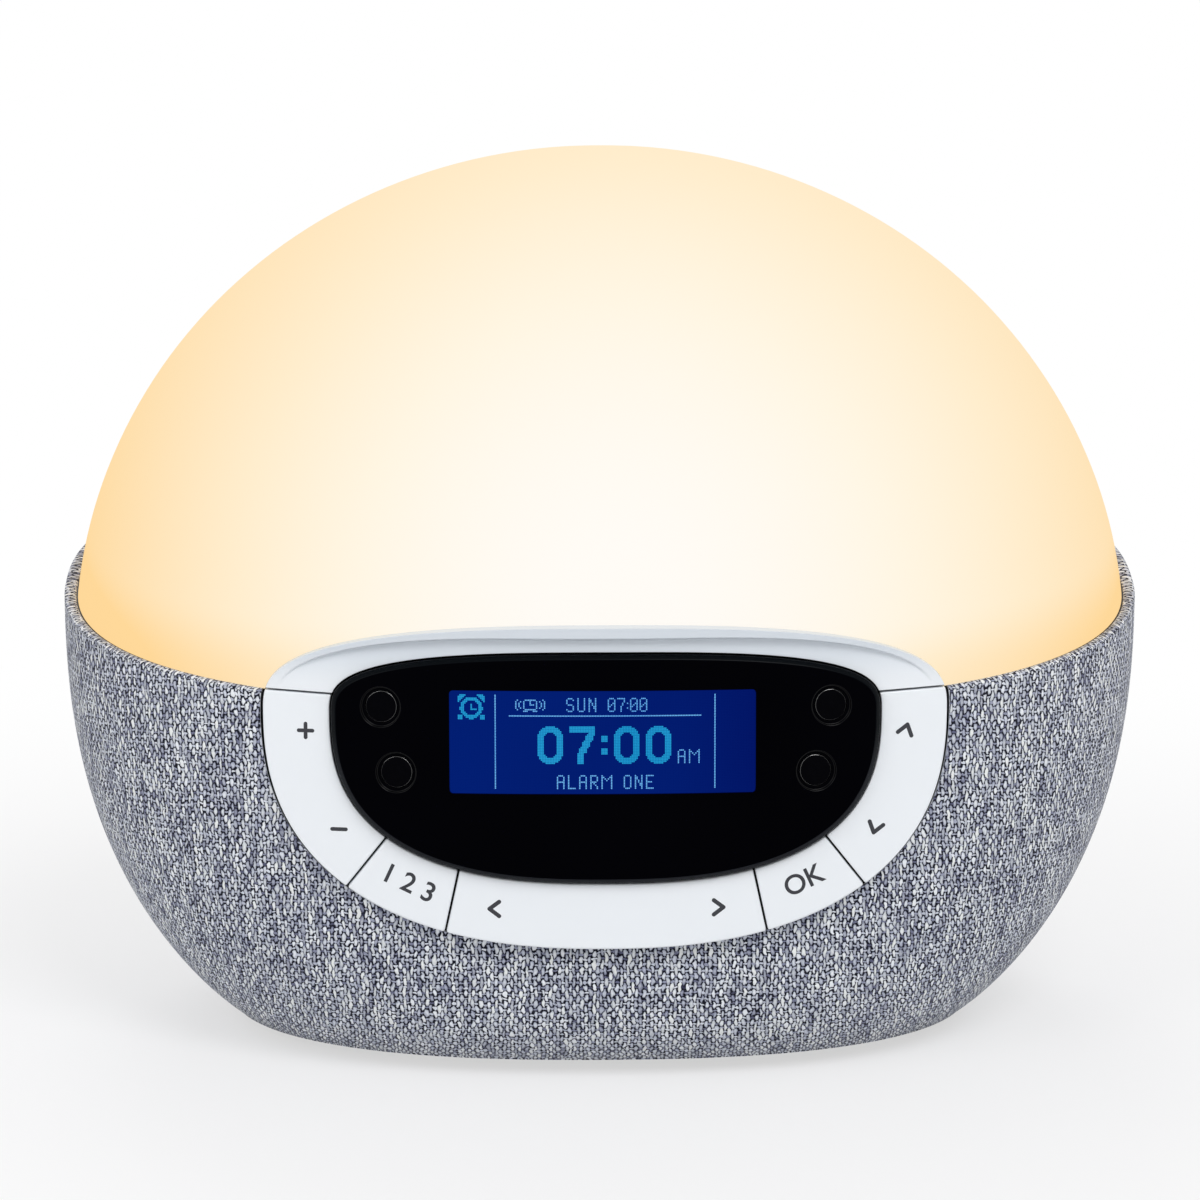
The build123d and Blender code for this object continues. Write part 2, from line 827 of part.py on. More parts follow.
with BuildPart() as carrier_walls:
    with BuildSketch(level(-board_depth)):
        with BuildLine():
            ring_curve(carrier_inset)
        make_face()
        with BuildLine():
            ring_curve(carrier_inset + carrier_wall)
        make_face(mode=Mode.SUBTRACT)
        with Locations(*boss_places):
            Circle(boss_diameter / 2)
    extrude(amount=board_depth)
    with BuildSketch(level(-guide_end)):
        with Locations(*guides):
            Circle(guide_diameter / 2 + guide_clearance + guide_boss_wall)
    extrude(amount=guide_end)
    add(barrel_slab(plate_top, -2 * board_depth), mode=Mode.INTERSECT)

with BuildPart() as window_seat:
    add(barrel_slab(window_back, plate_bottom))
    with BuildSketch(panel):
        with BuildLine():
            window_curve(0)
        make_face()
        with BuildLine():
            window_curve(seat_width)
        make_face(mode=Mode.SUBTRACT)
    extrude(amount=panel_reach, both=True, mode=Mode.INTERSECT)

with BuildPart() as panel_carrier:
    add(barrel_slab(plate_top, plate_bottom))
    with BuildSketch(panel):
        with BuildLine():
            ring_curve(carrier_inset)
        make_face()
    extrude(amount=panel_reach, both=True, mode=Mode.INTERSECT)
    add(carrier_walls.part)
    add(window_seat.part)
    for pivot in pivots:
        with BuildSketch(pin_plane(pivot)):
            with Locations((0, (pivot_block_top - pivot_block_drop) / 2)):
                Rectangle(pivot_block_length, pivot_block_top + pivot_block_drop)
        extrude(amount=pin_length / 2, both=True)
    for pivot in pivots:
        with BuildSketch(pin_plane(pivot)):
            Circle(pin_diameter / 2)
        extrude(amount=pin_length / 2, both=True, mode=Mode.SUBTRACT)
        with BuildSketch(pin_plane(pivot)):
            Rectangle(2 * (lug_radius + lug_gap), 4 * pivot_block_drop)
        extrude(amount=lug_width / 2 + lug_side_gap, both=True, mode=Mode.SUBTRACT)
    with BuildSketch(level(-board_depth)):
        with Locations(*stem_places):
            Circle(stem_diameter / 2 + stem_hole_gap)
        with Locations(*guides):
            Circle(guide_diameter / 2 + guide_clearance)
        with Locations((display_shift, display_rise)):
            Rectangle(frame_width + 2 * carrier_gap, frame_height + 2 * carrier_gap)
    extrude(amount=board_depth, mode=Mode.SUBTRACT)
    with BuildSketch(level(-board_depth)):
        with Locations(*boss_places):
            Circle(small_screw_diameter / 2)
    extrude(amount=pilot_depth, mode=Mode.SUBTRACT)
    for plane in button_planes:
        with BuildSketch(plane.offset(plate_bottom - plate_thickness)):
            Circle(button_stem_diameter / 2 + stem_hole_gap)
        extrude(amount=3 * plate_thickness, mode=Mode.SUBTRACT)
finish(panel_carrier, "panel_carrier")

with BuildPart() as pivot_pins:
    for pivot in pivots:
        with BuildSketch(pin_plane(pivot)):
            Circle(pin_diameter / 2)
        extrude(amount=pin_length / 2, both=True)
finish(pivot_pins, "pivot_pins")

# ---------------------------------------------------------------------------
# Visor: eyebrow over the window, flush with the keys at its ends and proud at its top
# ---------------------------------------------------------------------------
visor_foot = visor_line[0][1]
visor_angle = math.atan(visor_rise / (egg_rise + ring_upper - visor_foot))
visor_across = Plane(
    origin=panel.from_local_coords((0, visor_foot, 0)),
    x_dir=panel.x_dir,
    z_dir=panel.y_dir * math.cos(visor_angle) + panel.z_dir * math.sin(visor_angle),
)
visor_ends = line_ends(visor_line, key_gap / 2, -1) + line_ends(visor_line, key_gap / 2, 1)
visor_sector = [
    visor_ends[1], visor_ends[0], visor_ends[2], visor_ends[3],
    (panel_reach, panel_reach), (-panel_reach, panel_reach),
]

with BuildPart() as cove:
    add(barrel_slab(4 * visor_rise, cove_level))
    with BuildSketch(panel):
        with BuildLine():
            ring_curve(lip_width)
        make_face()
    extrude(amount=panel_reach, both=True, mode=Mode.INTERSECT)

with BuildPart() as visor:
    add(barrel_slab(0, -2 * board_depth, visor_across))
    with BuildSketch(panel):
        with BuildLine():
            ring_curve(0)
        make_face()
        with BuildLine():
            window_curve(-key_gap)
        make_face(mode=Mode.SUBTRACT)
        with BuildLine():
            Polyline(*visor_sector, close=True)
        make_face(mode=Mode.INTERSECT)
    extrude(amount=panel_reach, both=True, mode=Mode.INTERSECT)
    add(barrel_slab(4 * visor_rise, plate_top), mode=Mode.INTERSECT)
    add(cove.part, mode=Mode.SUBTRACT)
finish(visor, "visor")

# ---------------------------------------------------------------------------
# Key board with its switches, and the four screws that hold the panel in the pocket
# ---------------------------------------------------------------------------
board_back = board_depth + board_thickness
with BuildPart() as key_board:
    with BuildSketch(level(-board_back)):
        with BuildLine():
            ring_curve(0)
        make_face()
        with Locations(*boss_places):
            Circle(small_screw_diameter / 2 + screw_hole_gap, mode=Mode.SUBTRACT)
    extrude(amount=board_thickness)
    with BuildSketch(level(-board_back)):
        with Locations((0, connector_rise)):
            Rectangle(connector_width, connector_depth)
    extrude(amount=-connector_height)
finish(key_board, "key_board")

switch_places = stem_places + [
    (math.copysign(button_switch(abs(u), v)[0], u), v) for u, v in button_places
]
with BuildPart() as tact_switches:
    with BuildSketch(level(-board_depth)):
        with Locations(*switch_places):
            Rectangle(switch_size, switch_size)
    extrude(amount=switch_height)
    with BuildSketch(level(-board_depth)):
        with Locations(*switch_places):
            Circle(plunger_diameter / 2)
    extrude(amount=switch_height + plunger_height)
finish(tact_switches, "tact_switches")

with BuildPart() as panel_screws:
    with BuildSketch(level(-pocket_depth)):
        with Locations(*boss_places):
            Circle(small_head_diameter / 2)
    extrude(amount=-small_head_height)
    with BuildSketch(level(-pocket_depth)):
        with Locations(*boss_places):
            Circle(small_screw_diameter / 2)
    extrude(amount=pocket_depth - board_depth + pilot_depth)
finish(panel_screws, "panel_screws")

# ---------------------------------------------------------------------------
# Light engine: reflector tray on the bowl's flange, light board, chips and heat spreader
# ---------------------------------------------------------------------------
tray_plane = seam_bottom
board_plane = seam_bottom.offset(tray_thickness)
light_screw_places = [
    (sx * (light_board_width / 2 - 2 * small_head_diameter), light_back + sy * light_board_depth / 3)
    for sx in (-1, 1) for sy in (-1, 1)
]

with BuildPart() as reflector_tray:
    with BuildSketch(tray_plane):
        with BuildLine():
            plan_curve(dome_hole_half_width - tray_gap, dome_hole_half_depth - tray_gap)
        make_face()
    extrude(amount=tray_thickness + tray_lip_height)
    with BuildSketch(board_plane):
        with BuildLine():
            plan_curve(
                dome_hole_half_width - tray_gap - tray_lip_width,
                dome_hole_half_depth - tray_gap - tray_lip_width,
            )
        make_face()
    extrude(amount=tray_lip_height, mode=Mode.SUBTRACT)
    add(pocket_clear.part, mode=Mode.SUBTRACT)
    with BuildSketch(tray_plane):
        with Locations(*light_screw_places):
            Circle(small_screw_diameter / 2 + screw_hole_gap)
    extrude(amount=tray_thickness, mode=Mode.SUBTRACT)
finish(reflector_tray, "reflector_tray")

with BuildPart() as light_board:
    with BuildSketch(board_plane):
        with Locations((0, light_back)):
            RectangleRounded(light_board_width, light_board_depth, small_head_diameter)
        with Locations(*light_screw_places):
            Circle(small_screw_diameter / 2 + screw_hole_gap, mode=Mode.SUBTRACT)
    extrude(amount=light_board_thickness)
finish(light_board, "light_board")

with BuildPart() as light_chips:
    with BuildSketch(board_plane.offset(light_board_thickness)):
        with Locations((0, light_back)):
            with GridLocations(chip_pitch_x, chip_pitch_y, chip_columns, chip_rows):
                Rectangle(chip_size, chip_size)
    extrude(amount=chip_height)
finish(light_chips, "light_chips")

with BuildPart() as heat_spreader:
    with BuildSketch(tray_plane):
        with Locations((0, light_back)):
            Rectangle(light_board_width + 2 * spreader_margin, light_board_depth + 2 * spreader_margin)
        with Locations(*light_screw_places):
            Circle(small_screw_diameter / 2, mode=Mode.SUBTRACT)
    extrude(amount=-spreader_thickness)
finish(heat_spreader, "heat_spreader")

with BuildPart() as light_screws:
    with BuildSketch(board_plane.offset(light_board_thickness)):
        with Locations(*light_screw_places):
            Circle(small_head_diameter / 2)
    extrude(amount=small_head_height)
    with BuildSketch(board_plane.offset(light_board_thickness)):
        with Locations(*light_screw_places):
            Circle(small_screw_diameter / 2)
    extrude(amount=-(light_board_thickness + tray_thickness + spreader_thickness))
finish(light_screws, "light_screws")

with BuildPart() as dome_screws:
    with BuildSketch(dome_screw_plane):
        with Locations(*dome_screw_places):
            Circle(screw_head_diameter / 2)
    extrude(amount=-screw_head_height)
    with BuildSketch(dome_screw_plane):
        with Locations(*dome_screw_places):
            Circle(screw_diameter / 2)
    extrude(amount=flange_thickness + seam_gap + dome_pilot_depth)
finish(dome_screws, "dome_screws")

# ---------------------------------------------------------------------------
# Base plate, its feet and screws
# ---------------------------------------------------------------------------
base_plane = Plane(origin=(0, body_y, floor_z))
board_base = boss_base.offset(standoff_height)
foot_places = [(sx * foot_x, sy * foot_y) for sx in (-1, 1) for sy in (-1, 1)]
standoff_x = main_board_width / 2 - standoff_margin
standoff_y = main_board_depth / 2 - standoff_margin
standoff_places = [
    (sx * standoff_x, main_board_back + sy * standoff_y) for sx in (-1, 1) for sy in (-1, 1)
]
edge_inset = fabric_thickness + bowl_wall + base_gap

with BuildPart() as base_plate:
    with BuildSketch(base_plane):
        with BuildLine():
            plan_curve(bowl_half_width(0) - edge_inset, bowl_half_depth(0) - edge_inset)
        make_face()
    extrude(amount=base_thickness)
    with BuildSketch(boss_base):
        with Locations(*standoff_places):
            Circle(standoff_diameter / 2)
    extrude(amount=standoff_height)
    with BuildSketch(boss_base):
        with Locations(*standoff_places):
            Circle(small_screw_diameter / 2)
    extrude(amount=standoff_height, mode=Mode.SUBTRACT)
    with BuildSketch(base_plane):
        with Locations(*base_corners):
            Circle(screw_diameter / 2 + screw_hole_gap)
    extrude(amount=base_thickness, mode=Mode.SUBTRACT)
    with BuildSketch(base_plane):
        with Locations(*base_corners):
            Circle(screw_head_diameter / 2 + screw_hole_gap)
    extrude(amount=screw_head_height, mode=Mode.SUBTRACT)
    with BuildSketch(base_plane):
        with Locations(*foot_places):
            Circle(foot_diameter / 2)
    extrude(amount=foot_recess, mode=Mode.SUBTRACT)
finish(base_plate, "base_plate")

with BuildPart() as feet:
    with BuildSketch(base_plane.offset(foot_recess)):
        with Locations(*foot_places):
            Circle(foot_diameter / 2)
    extrude(amount=-(foot_recess + foot_height))
finish(feet, "feet")

with BuildPart() as base_screws:
    with BuildSketch(base_plane):
        with Locations(*base_corners):
            Circle(screw_head_diameter / 2)
    extrude(amount=screw_head_height)
    with BuildSketch(base_plane):
        with Locations(*base_corners):
            Circle(screw_diameter / 2)
    extrude(amount=base_thickness + base_boss_height - 2 * bowl_wall)
finish(base_screws, "base_screws")

# ---------------------------------------------------------------------------
# Main board with its components, backup cell and leads
# ---------------------------------------------------------------------------
board_top_plane = board_base.offset(board_thickness)
board_top = standoff_height + base_thickness + board_thickness

with BuildPart() as main_board:
    with BuildSketch(board_base):
        with Locations((0, main_board_back)):
            Rectangle(main_board_width, main_board_depth)
        with Locations(*standoff_places):
            Circle(small_screw_diameter / 2 + screw_hole_gap, mode=Mode.SUBTRACT)
    extrude(amount=board_thickness)
finish(main_board, "main_board")

with BuildPart() as board_screws:
    with BuildSketch(board_top_plane):
        with Locations(*standoff_places):
            Circle(small_head_diameter / 2)
    extrude(amount=small_head_height)
    with BuildSketch(board_top_plane):
        with Locations(*standoff_places):
            Circle(small_screw_diameter / 2)
    extrude(amount=-(board_thickness + standoff_height))
finish(board_screws, "board_screws")

# Components: (width, depth, height, x, distance behind the board's front edge)
board_blocks = (
    (12.0, 12.0, 1.6, 12.0, 20.0),
    (8.0, 6.0, 1.2, -4.0, 21.0),
    (5.0, 4.0, 1.4, 12.0, 34.0),
    (8.0, 8.0, 5.0, 33.0, 15.0),
    (6.0, 5.0, 5.0, light_lead_x, lead_setback),
    (6.0, 5.0, 5.0, speaker_x, lead_setback),
    (connector_width, connector_depth, connector_height, 0.0, lead_setback),
)
can_diameter = 8.0
can_height = 11.0
can_places = ((23.0, 14.0), (-6.0, 12.5), (-24.0, 8.0))
board_front = main_board_back - main_board_depth / 2

with BuildPart() as board_components:
    for width, depth, height, x, setback in board_blocks:
        with BuildSketch(board_top_plane):
            with Locations((x, board_front + setback)):
                Rectangle(width, depth)
        extrude(amount=height)
    with BuildSketch(board_top_plane):
        with Locations(*[(x, board_front + setback) for x, setback in can_places]):
            Circle(can_diameter / 2)
    extrude(amount=can_height)
finish(board_components, "board_components")

cell_diameter = 20.0
cell_thickness = 3.2
cell_gap = 0.2
holder_wall = 1.2
holder_floor = 0.8
cell_place = (-25.0, board_front + 26.0)

with BuildPart() as cell_holder:
    with BuildSketch(board_top_plane):
        with Locations(cell_place):
            Circle(cell_diameter / 2 + cell_gap + holder_wall)
    extrude(amount=holder_floor + cell_thickness)
    with BuildSketch(board_top_plane.offset(holder_floor)):
        with Locations(cell_place):
            Circle(cell_diameter / 2 + cell_gap)
    extrude(amount=cell_thickness, mode=Mode.SUBTRACT)
finish(cell_holder, "cell_holder")

with BuildPart() as coin_cell:
    with BuildSketch(board_top_plane.offset(holder_floor)):
        with Locations(cell_place):
            Circle(cell_diameter / 2)
    extrude(amount=cell_thickness)
finish(coin_cell, "coin_cell")


def side_view(x):
    """Plane seen from the right: its x axis runs backwards from the body's axis, its y axis up."""
    return Plane(origin=(x, body_y, floor_z), x_dir=(0, 1, 0), z_dir=(1, 0, 0))


ribbon_width = 12.0
ribbon_thickness = 0.6
ribbon_radius = 12.0
lead_y = board_front + lead_setback
connector_centre = panel.from_local_coords((0, connector_rise, -(board_back + connector_height)))
ribbon_end_y = connector_centre.Y - body_y + ribbon_thickness / 2
ribbon_end_z = connector_centre.Z - floor_z

with BuildPart() as ribbon_cable:
    with BuildSketch(side_view(0)):
        with BuildLine():
            FilletPolyline(
                (lead_y, board_top + connector_height),
                (lead_y, ribbon_end_z),
                (ribbon_end_y, ribbon_end_z),
                radius=ribbon_radius,
            )
        trace(line_width=ribbon_thickness)
    extrude(amount=ribbon_width / 2, both=True)
finish(ribbon_cable, "ribbon_cable")

lead_width = 3.0
lead_thickness = 1.2
lead_radius = 8.0
lead_block_height = 5.0
spreader_under = seam_bottom.offset(-spreader_thickness)
lead_top = spreader_under.from_local_coords((light_lead_x, light_lead_back, 0))

with BuildPart() as light_lead:
    with BuildSketch(side_view(light_lead_x)):
        with BuildLine():
            FilletPolyline(
                (lead_y, board_top + lead_block_height),
                (lead_y, board_top + 4 * lead_block_height),
                (lead_top.Y - body_y, lead_top.Z - floor_z - 4 * lead_block_height),
                (lead_top.Y - body_y, lead_top.Z - floor_z),
                radius=lead_radius,
            )
        trace(line_width=lead_thickness)
    extrude(amount=lead_width / 2, both=True)
    with BuildSketch(spreader_under):
        Rectangle(cut_span, cut_span)
    extrude(amount=cut_span, mode=Mode.SUBTRACT)
finish(light_lead, "light_lead")

# ---------------------------------------------------------------------------
# Rear panel with sound slots and inlet hole
# ---------------------------------------------------------------------------
inlet_z = board_top + inlet_height
speaker_rise = speaker_height - rear_panel_centre
inlet_rise = inlet_z - rear_panel_centre
seat_start = half_depth - speaker_seat
seat_end = half_depth - fabric_thickness - bowl_wall + seat_overlap
slot_reach = speaker_diameter / 2 - speaker_rim - slot_margin
slot_count = int(slot_reach // slot_pitch)

with BuildPart() as rear_panel:
    with BuildSketch(rear_plane):
        RectangleRounded(
            rear_panel_width - 2 * rear_panel_gap,
            rear_panel_height - 2 * rear_panel_gap,
            rear_panel_radius - rear_panel_gap,
        )
    extrude(amount=2 * half_depth)
    add(bowl_outer, mode=Mode.INTERSECT)
    add(bowl_inner, mode=Mode.SUBTRACT)
    with BuildSketch(rear_plane.offset(seat_start)):
        with Locations((-speaker_x, speaker_rise)):
            Circle(speaker_diameter / 2)
            Circle(speaker_diameter / 2 - speaker_rim, mode=Mode.SUBTRACT)
    extrude(amount=seat_end - seat_start)
    with BuildSketch(rear_plane):
        for i in range(-slot_count, slot_count + 1):
            chord = math.sqrt(slot_reach ** 2 - (i * slot_pitch) ** 2)
            if chord > slot_width:
                with Locations((-speaker_x + i * slot_pitch, speaker_rise)):
                    SlotOverall(2 * chord, slot_width, rotation=90)
    extrude(amount=2 * half_depth, mode=Mode.SUBTRACT)
    with BuildSketch(rear_plane):
        with Locations((-inlet_x, inlet_rise)):
            Circle(inlet_nose_diameter / 2 + inlet_nose_gap)
    extrude(amount=2 * half_depth, mode=Mode.SUBTRACT)
finish(rear_panel, "rear_panel")

# ---------------------------------------------------------------------------
# Loudspeaker on the rear panel's ring
# ---------------------------------------------------------------------------
speaker_section = Plane(
    origin=(speaker_x, body_y, floor_z + speaker_height), x_dir=(0, 0, 1), z_dir=(-1, 0, 0)
)
speaker_axis = Axis((speaker_x, body_y, floor_z + speaker_height), (0, 1, 0))
speaker_radius = speaker_diameter / 2
speaker_back = seat_start - speaker_depth
magnet_front = speaker_back + magnet_thickness
basket_wall = 1.2

with BuildPart() as speaker_frame:
    with BuildSketch(speaker_section):
        with BuildLine():
            Polyline(
                (magnet_diameter / 4, magnet_front),
                (magnet_diameter / 2, magnet_front),
                (speaker_radius - speaker_rim, seat_start - basket_wall),
                (speaker_radius, seat_start - basket_wall),
                (speaker_radius, seat_start),
                (speaker_radius - speaker_rim, seat_start),
                (magnet_diameter / 2 - basket_wall, magnet_front + basket_wall),
                (magnet_diameter / 4, magnet_front + basket_wall),
                close=True,
            )
        make_face()
    revolve(axis=speaker_axis)
finish(speaker_frame, "speaker_frame")

with BuildPart() as speaker_cone:
    with BuildSketch(speaker_section):
        with BuildLine():
            Polyline(
                (0, magnet_front + 2 * basket_wall),
                (magnet_diameter / 4, magnet_front + 2 * basket_wall),
                (speaker_radius - speaker_rim, seat_start),
                (speaker_radius - speaker_rim, seat_start + cone_thickness),
                (magnet_diameter / 4, magnet_front + 2 * basket_wall + cone_thickness),
                (0, magnet_front + 2 * basket_wall + cone_thickness),
                close=True,
            )
        make_face()
    revolve(axis=speaker_axis)
finish(speaker_cone, "speaker_cone")

with BuildPart() as speaker_magnet:
    with BuildSketch(speaker_section):
        with BuildLine():
            Polyline(
                (0, speaker_back),
                (magnet_diameter / 2, speaker_back),
                (magnet_diameter / 2, magnet_front),
                (magnet_diameter / 4, magnet_front),
                (magnet_diameter / 4, magnet_front + basket_wall),
                (0, magnet_front + basket_wall),
                close=True,
            )
        make_face()
    revolve(axis=speaker_axis)
finish(speaker_magnet, "speaker_magnet")

with BuildPart() as speaker_lead:
    with BuildSketch(side_view(speaker_x)):
        with BuildLine():
            FilletPolyline(
                (lead_y, board_top + lead_block_height),
                (lead_y, speaker_height),
                (speaker_back, speaker_height),
                radius=lead_radius,
            )
        trace(line_width=lead_thickness)
    extrude(amount=lead_width / 2, both=True)
finish(speaker_lead, "speaker_lead")

# ---------------------------------------------------------------------------
# Supply inlet: jack body on the main board, its nose in the rear panel's hole
# ---------------------------------------------------------------------------
inlet_share = 1 - (inlet_x / bowl_half_width(inlet_z)) ** plan_power
inlet_mouth = bowl_half_depth(inlet_z) * inlet_share ** (1 / plan_power) - inlet_recess
side_share = 1 - ((inlet_x + inlet_width / 2) / bowl_half_width(board_top)) ** plan_power
wall_back = bowl_half_depth(board_top) * side_share ** (1 / plan_power)
inlet_back = wall_back - fabric_thickness - bowl_wall - 2 * inlet_nose_gap
inlet_front = board_front + main_board_depth - inlet_overlap

inlet_plane = Plane(origin=(inlet_x, body_y, floor_z + inlet_z), x_dir=(-1, 0, 0), z_dir=(0, 1, 0))

with BuildPart() as inlet_jack:
    with BuildSketch(board_top_plane):
        with Locations((inlet_x, (inlet_front + inlet_back) / 2)):
            Rectangle(inlet_width, inlet_back - inlet_front)
    extrude(amount=inlet_height + inlet_width / 2)
    with BuildSketch(inlet_plane.offset(inlet_front)):
        Circle(inlet_nose_diameter / 2)
    extrude(amount=inlet_mouth - inlet_front)
    with BuildSketch(inlet_plane.offset(inlet_mouth - inlet_bore_depth)):
        Circle(inlet_bore / 2)
    extrude(amount=inlet_bore_depth, mode=Mode.SUBTRACT)
finish(inlet_jack, "inlet_jack")

with BuildPart() as inlet_pin:
    with BuildSketch(inlet_plane.offset(inlet_mouth - inlet_bore_depth)):
        Circle(inlet_pin_diameter / 2)
    extrude(amount=inlet_pin_length)
finish(inlet_pin, "inlet_pin")
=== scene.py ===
# %% [markdown]
# # Dressing a sunrise alarm clock
#
# The clock is a glowing dome on a bowl wrapped in woven cloth. A ring of white keys sits on the
# bowl's front, round a gloss black window with a blue dot display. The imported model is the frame:
# it gives every place and every moving body. What shows is modelled anew here, so that edges are
# soft, surfaces are smooth and each finish can have its own detail.

# %% Load the frame
import json
import math
from contextlib import contextmanager
from functools import cached_property
from itertools import accumulate, product

import bpy
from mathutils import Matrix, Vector


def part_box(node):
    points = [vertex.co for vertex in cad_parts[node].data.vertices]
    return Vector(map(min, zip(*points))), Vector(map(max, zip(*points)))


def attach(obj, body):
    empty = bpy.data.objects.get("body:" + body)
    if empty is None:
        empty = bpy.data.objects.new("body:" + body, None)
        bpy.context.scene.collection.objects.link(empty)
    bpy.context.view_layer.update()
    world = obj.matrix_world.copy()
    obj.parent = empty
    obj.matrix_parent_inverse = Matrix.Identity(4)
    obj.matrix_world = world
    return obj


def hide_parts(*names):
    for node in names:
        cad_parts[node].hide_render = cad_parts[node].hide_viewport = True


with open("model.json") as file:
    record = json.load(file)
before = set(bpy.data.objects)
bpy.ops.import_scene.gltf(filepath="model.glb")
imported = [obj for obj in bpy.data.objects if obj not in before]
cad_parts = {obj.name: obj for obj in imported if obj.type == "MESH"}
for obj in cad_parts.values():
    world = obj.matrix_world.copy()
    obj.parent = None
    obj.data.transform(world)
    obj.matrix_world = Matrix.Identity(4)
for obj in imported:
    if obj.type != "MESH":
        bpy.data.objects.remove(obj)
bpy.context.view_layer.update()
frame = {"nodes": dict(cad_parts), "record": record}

# %% [markdown]
# ## Sizes
#
# Sizes are written in millimetres, as a maker would, and turned into Blender's metres in one place.
# The body's middle and its underside are read from the frame, so that they can't drift from it.

# %% Sizes of the body and of the front panel
MM = 0.001


def box_mm(node):
    """Lowest and highest corner of a node, in millimetres."""
    low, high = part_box(node)
    return low / MM, high / MM


bowl_low, bowl_high = box_mm("base_bowl")
body_y = (bowl_low.y + bowl_high.y) / 2
floor_z = box_mm("base_plate")[0].z

half_width = 105.0
half_depth = 61.0
plan_power = 2.4
shoulder_height = 82.0
side_runout = 19.3
side_power = 2.4
belly_height = 45.0
belly_runout = 3.2
belly_power = 5.0
dome_half_width = 103.0
dome_half_depth = 59.0
dome_centre_height = 72.4
dome_rise = 97.2
dome_wall = 2.8
seam_height = 84.7
seam_slope = math.radians(12.2)
seam_gap = 0.4
fabric_thickness = 1.2

panel_forward = 62.5
panel_height = 58.0
panel_tilt = math.radians(4.0)
barrel_radius = 240.0
egg_rise = 13.0
ring = {"half_width": 63.8, "lower": 44.2, "upper": 16.3, "lower_power": 2.44, "upper_power": 2.7}
window = {"half_width": 51.0, "lower": 31.5, "upper": 11.3, "lower_power": 2.65, "upper_power": 2.9}
key_gap = 0.4
cap_thickness = 2.4
print("body centre", round(body_y, 3), "underside", round(floor_z, 3))

# %% [markdown]
# ## Curves
#
# Every level section of the body is a power curve: an ellipse that is a little boxier than a true
# one. The panel's outlines use the same curve, with other halves above and below their widest
# level. The panel is a barrel: a slice of a large cylinder that leans back by four degrees.


# %% Points on the body and on the panel
def power_point(angle, half_u, half_v, power):
    """Point of a power curve. Power 2 is an ellipse and more is boxier."""
    c = math.cos(angle)
    s = math.sin(angle)
    u = math.copysign(abs(c) ** (2 / power), c) * half_u
    v = math.copysign(abs(s) ** (2 / power), s) * half_v
    return u, v


def bowl_halves(height):
    """Half width and half depth of the bowl, at a height over its underside."""
    narrow = max(shoulder_height - height, 0) / (shoulder_height + side_runout)
    shallow = max(belly_height - height, 0) / (belly_height + belly_runout)
    half_x = half_width * (1 - narrow ** side_power) ** (1 / side_power)
    half_y = half_depth * (1 - shallow ** belly_power) ** (1 / belly_power)
    return half_x, half_y


def on_body(angle, half_x, half_y, height, share=1.0):
    """Place in millimetres on a level oval round the body's middle, where share is 0."""
    x, y = power_point(angle, half_x, half_y, plan_power)
    return Vector((x * share, body_y + y * share, floor_z + height))


def outline_point(outline, angle, inset=0.0):
    """Point (u, v) of the ring's or the window's outline, moved inwards by inset."""
    part = "upper" if math.sin(angle) > 0 else "lower"
    half_u, half_v = outline["half_width"] - inset, outline[part] - inset
    u, v = power_point(angle, half_u, half_v, outline[part + "_power"])
    return u, v + egg_rise


panel_origin = Vector((0, body_y - panel_forward, floor_z + panel_height))
panel_up = Vector((0, math.sin(panel_tilt), math.cos(panel_tilt)))
panel_out = Vector((0, -math.cos(panel_tilt), math.sin(panel_tilt)))
seam_origin = Vector((0, body_y, floor_z + seam_height))
seam_up = Vector((0, -math.sin(seam_slope), math.cos(seam_slope)))


def on_panel(u, v, level=0.0):
    """Place in metres: u to the right, v up the panel, level over the ring's curved front."""
    radius = barrel_radius + level
    out = math.sqrt(radius ** 2 - u ** 2) - barrel_radius
    return (panel_origin + Vector((u, 0, 0)) + panel_up * v + panel_out * out) * MM


def off_panel(place):
    """The way back: (u, v, level) of a place in metres."""
    away = place / MM - panel_origin
    level = math.hypot(away.x, away.dot(panel_out) + barrel_radius) - barrel_radius
    return away.x, away.dot(panel_up), level


# %% [markdown]
# ## Tools for modelling
#
# A few short helpers keep the modelling readable. Each one does what a person would do by hand:
# select one piece, go into edit mode, run an operator, or add a modifier and apply it. Most pieces
# start as a grid primitive, whose points are then laid on a curved surface.


# %% Selecting, editing and modifying
def only(piece):
    """Makes one piece the only selected one, and the active one."""
    bpy.ops.object.select_all(action="DESELECT")
    piece.select_set(True)
    bpy.context.view_layer.objects.active = piece


@contextmanager
def editing(piece):
    """Edit mode on one piece, with all of it selected."""
    only(piece)
    bpy.ops.object.mode_set(mode="EDIT")
    bpy.ops.mesh.select_all(action="SELECT")
    yield
    bpy.ops.object.mode_set(mode="OBJECT")


@contextmanager
def choosing(piece, kind, wanted):
    """Edit mode on one piece, with only the faces or edges selected that a rule picks."""
    with editing(piece):
        bpy.ops.mesh.select_mode(type=kind)
        bpy.ops.mesh.select_all(action="DESELECT")
    for item in piece.data.polygons if kind == "FACE" else piece.data.edges:
        item.select = wanted(item)
    only(piece)
    bpy.ops.object.mode_set(mode="EDIT")
    yield
    bpy.ops.object.mode_set(mode="OBJECT")


def modify(piece, kind, **settings):
    """Adds one modifier, sets it and applies it."""
    only(piece)
    modifier = piece.modifiers.new(kind.lower(), kind)
    for name, value in settings.items():
        setattr(modifier, name, value)
    bpy.ops.object.modifier_apply(modifier=modifier.name)


def merge(piece, reach=0.001):
    """Merges points that lie within reach millimetres of each other."""
    with editing(piece):
        bpy.ops.mesh.remove_doubles(threshold=reach * MM)


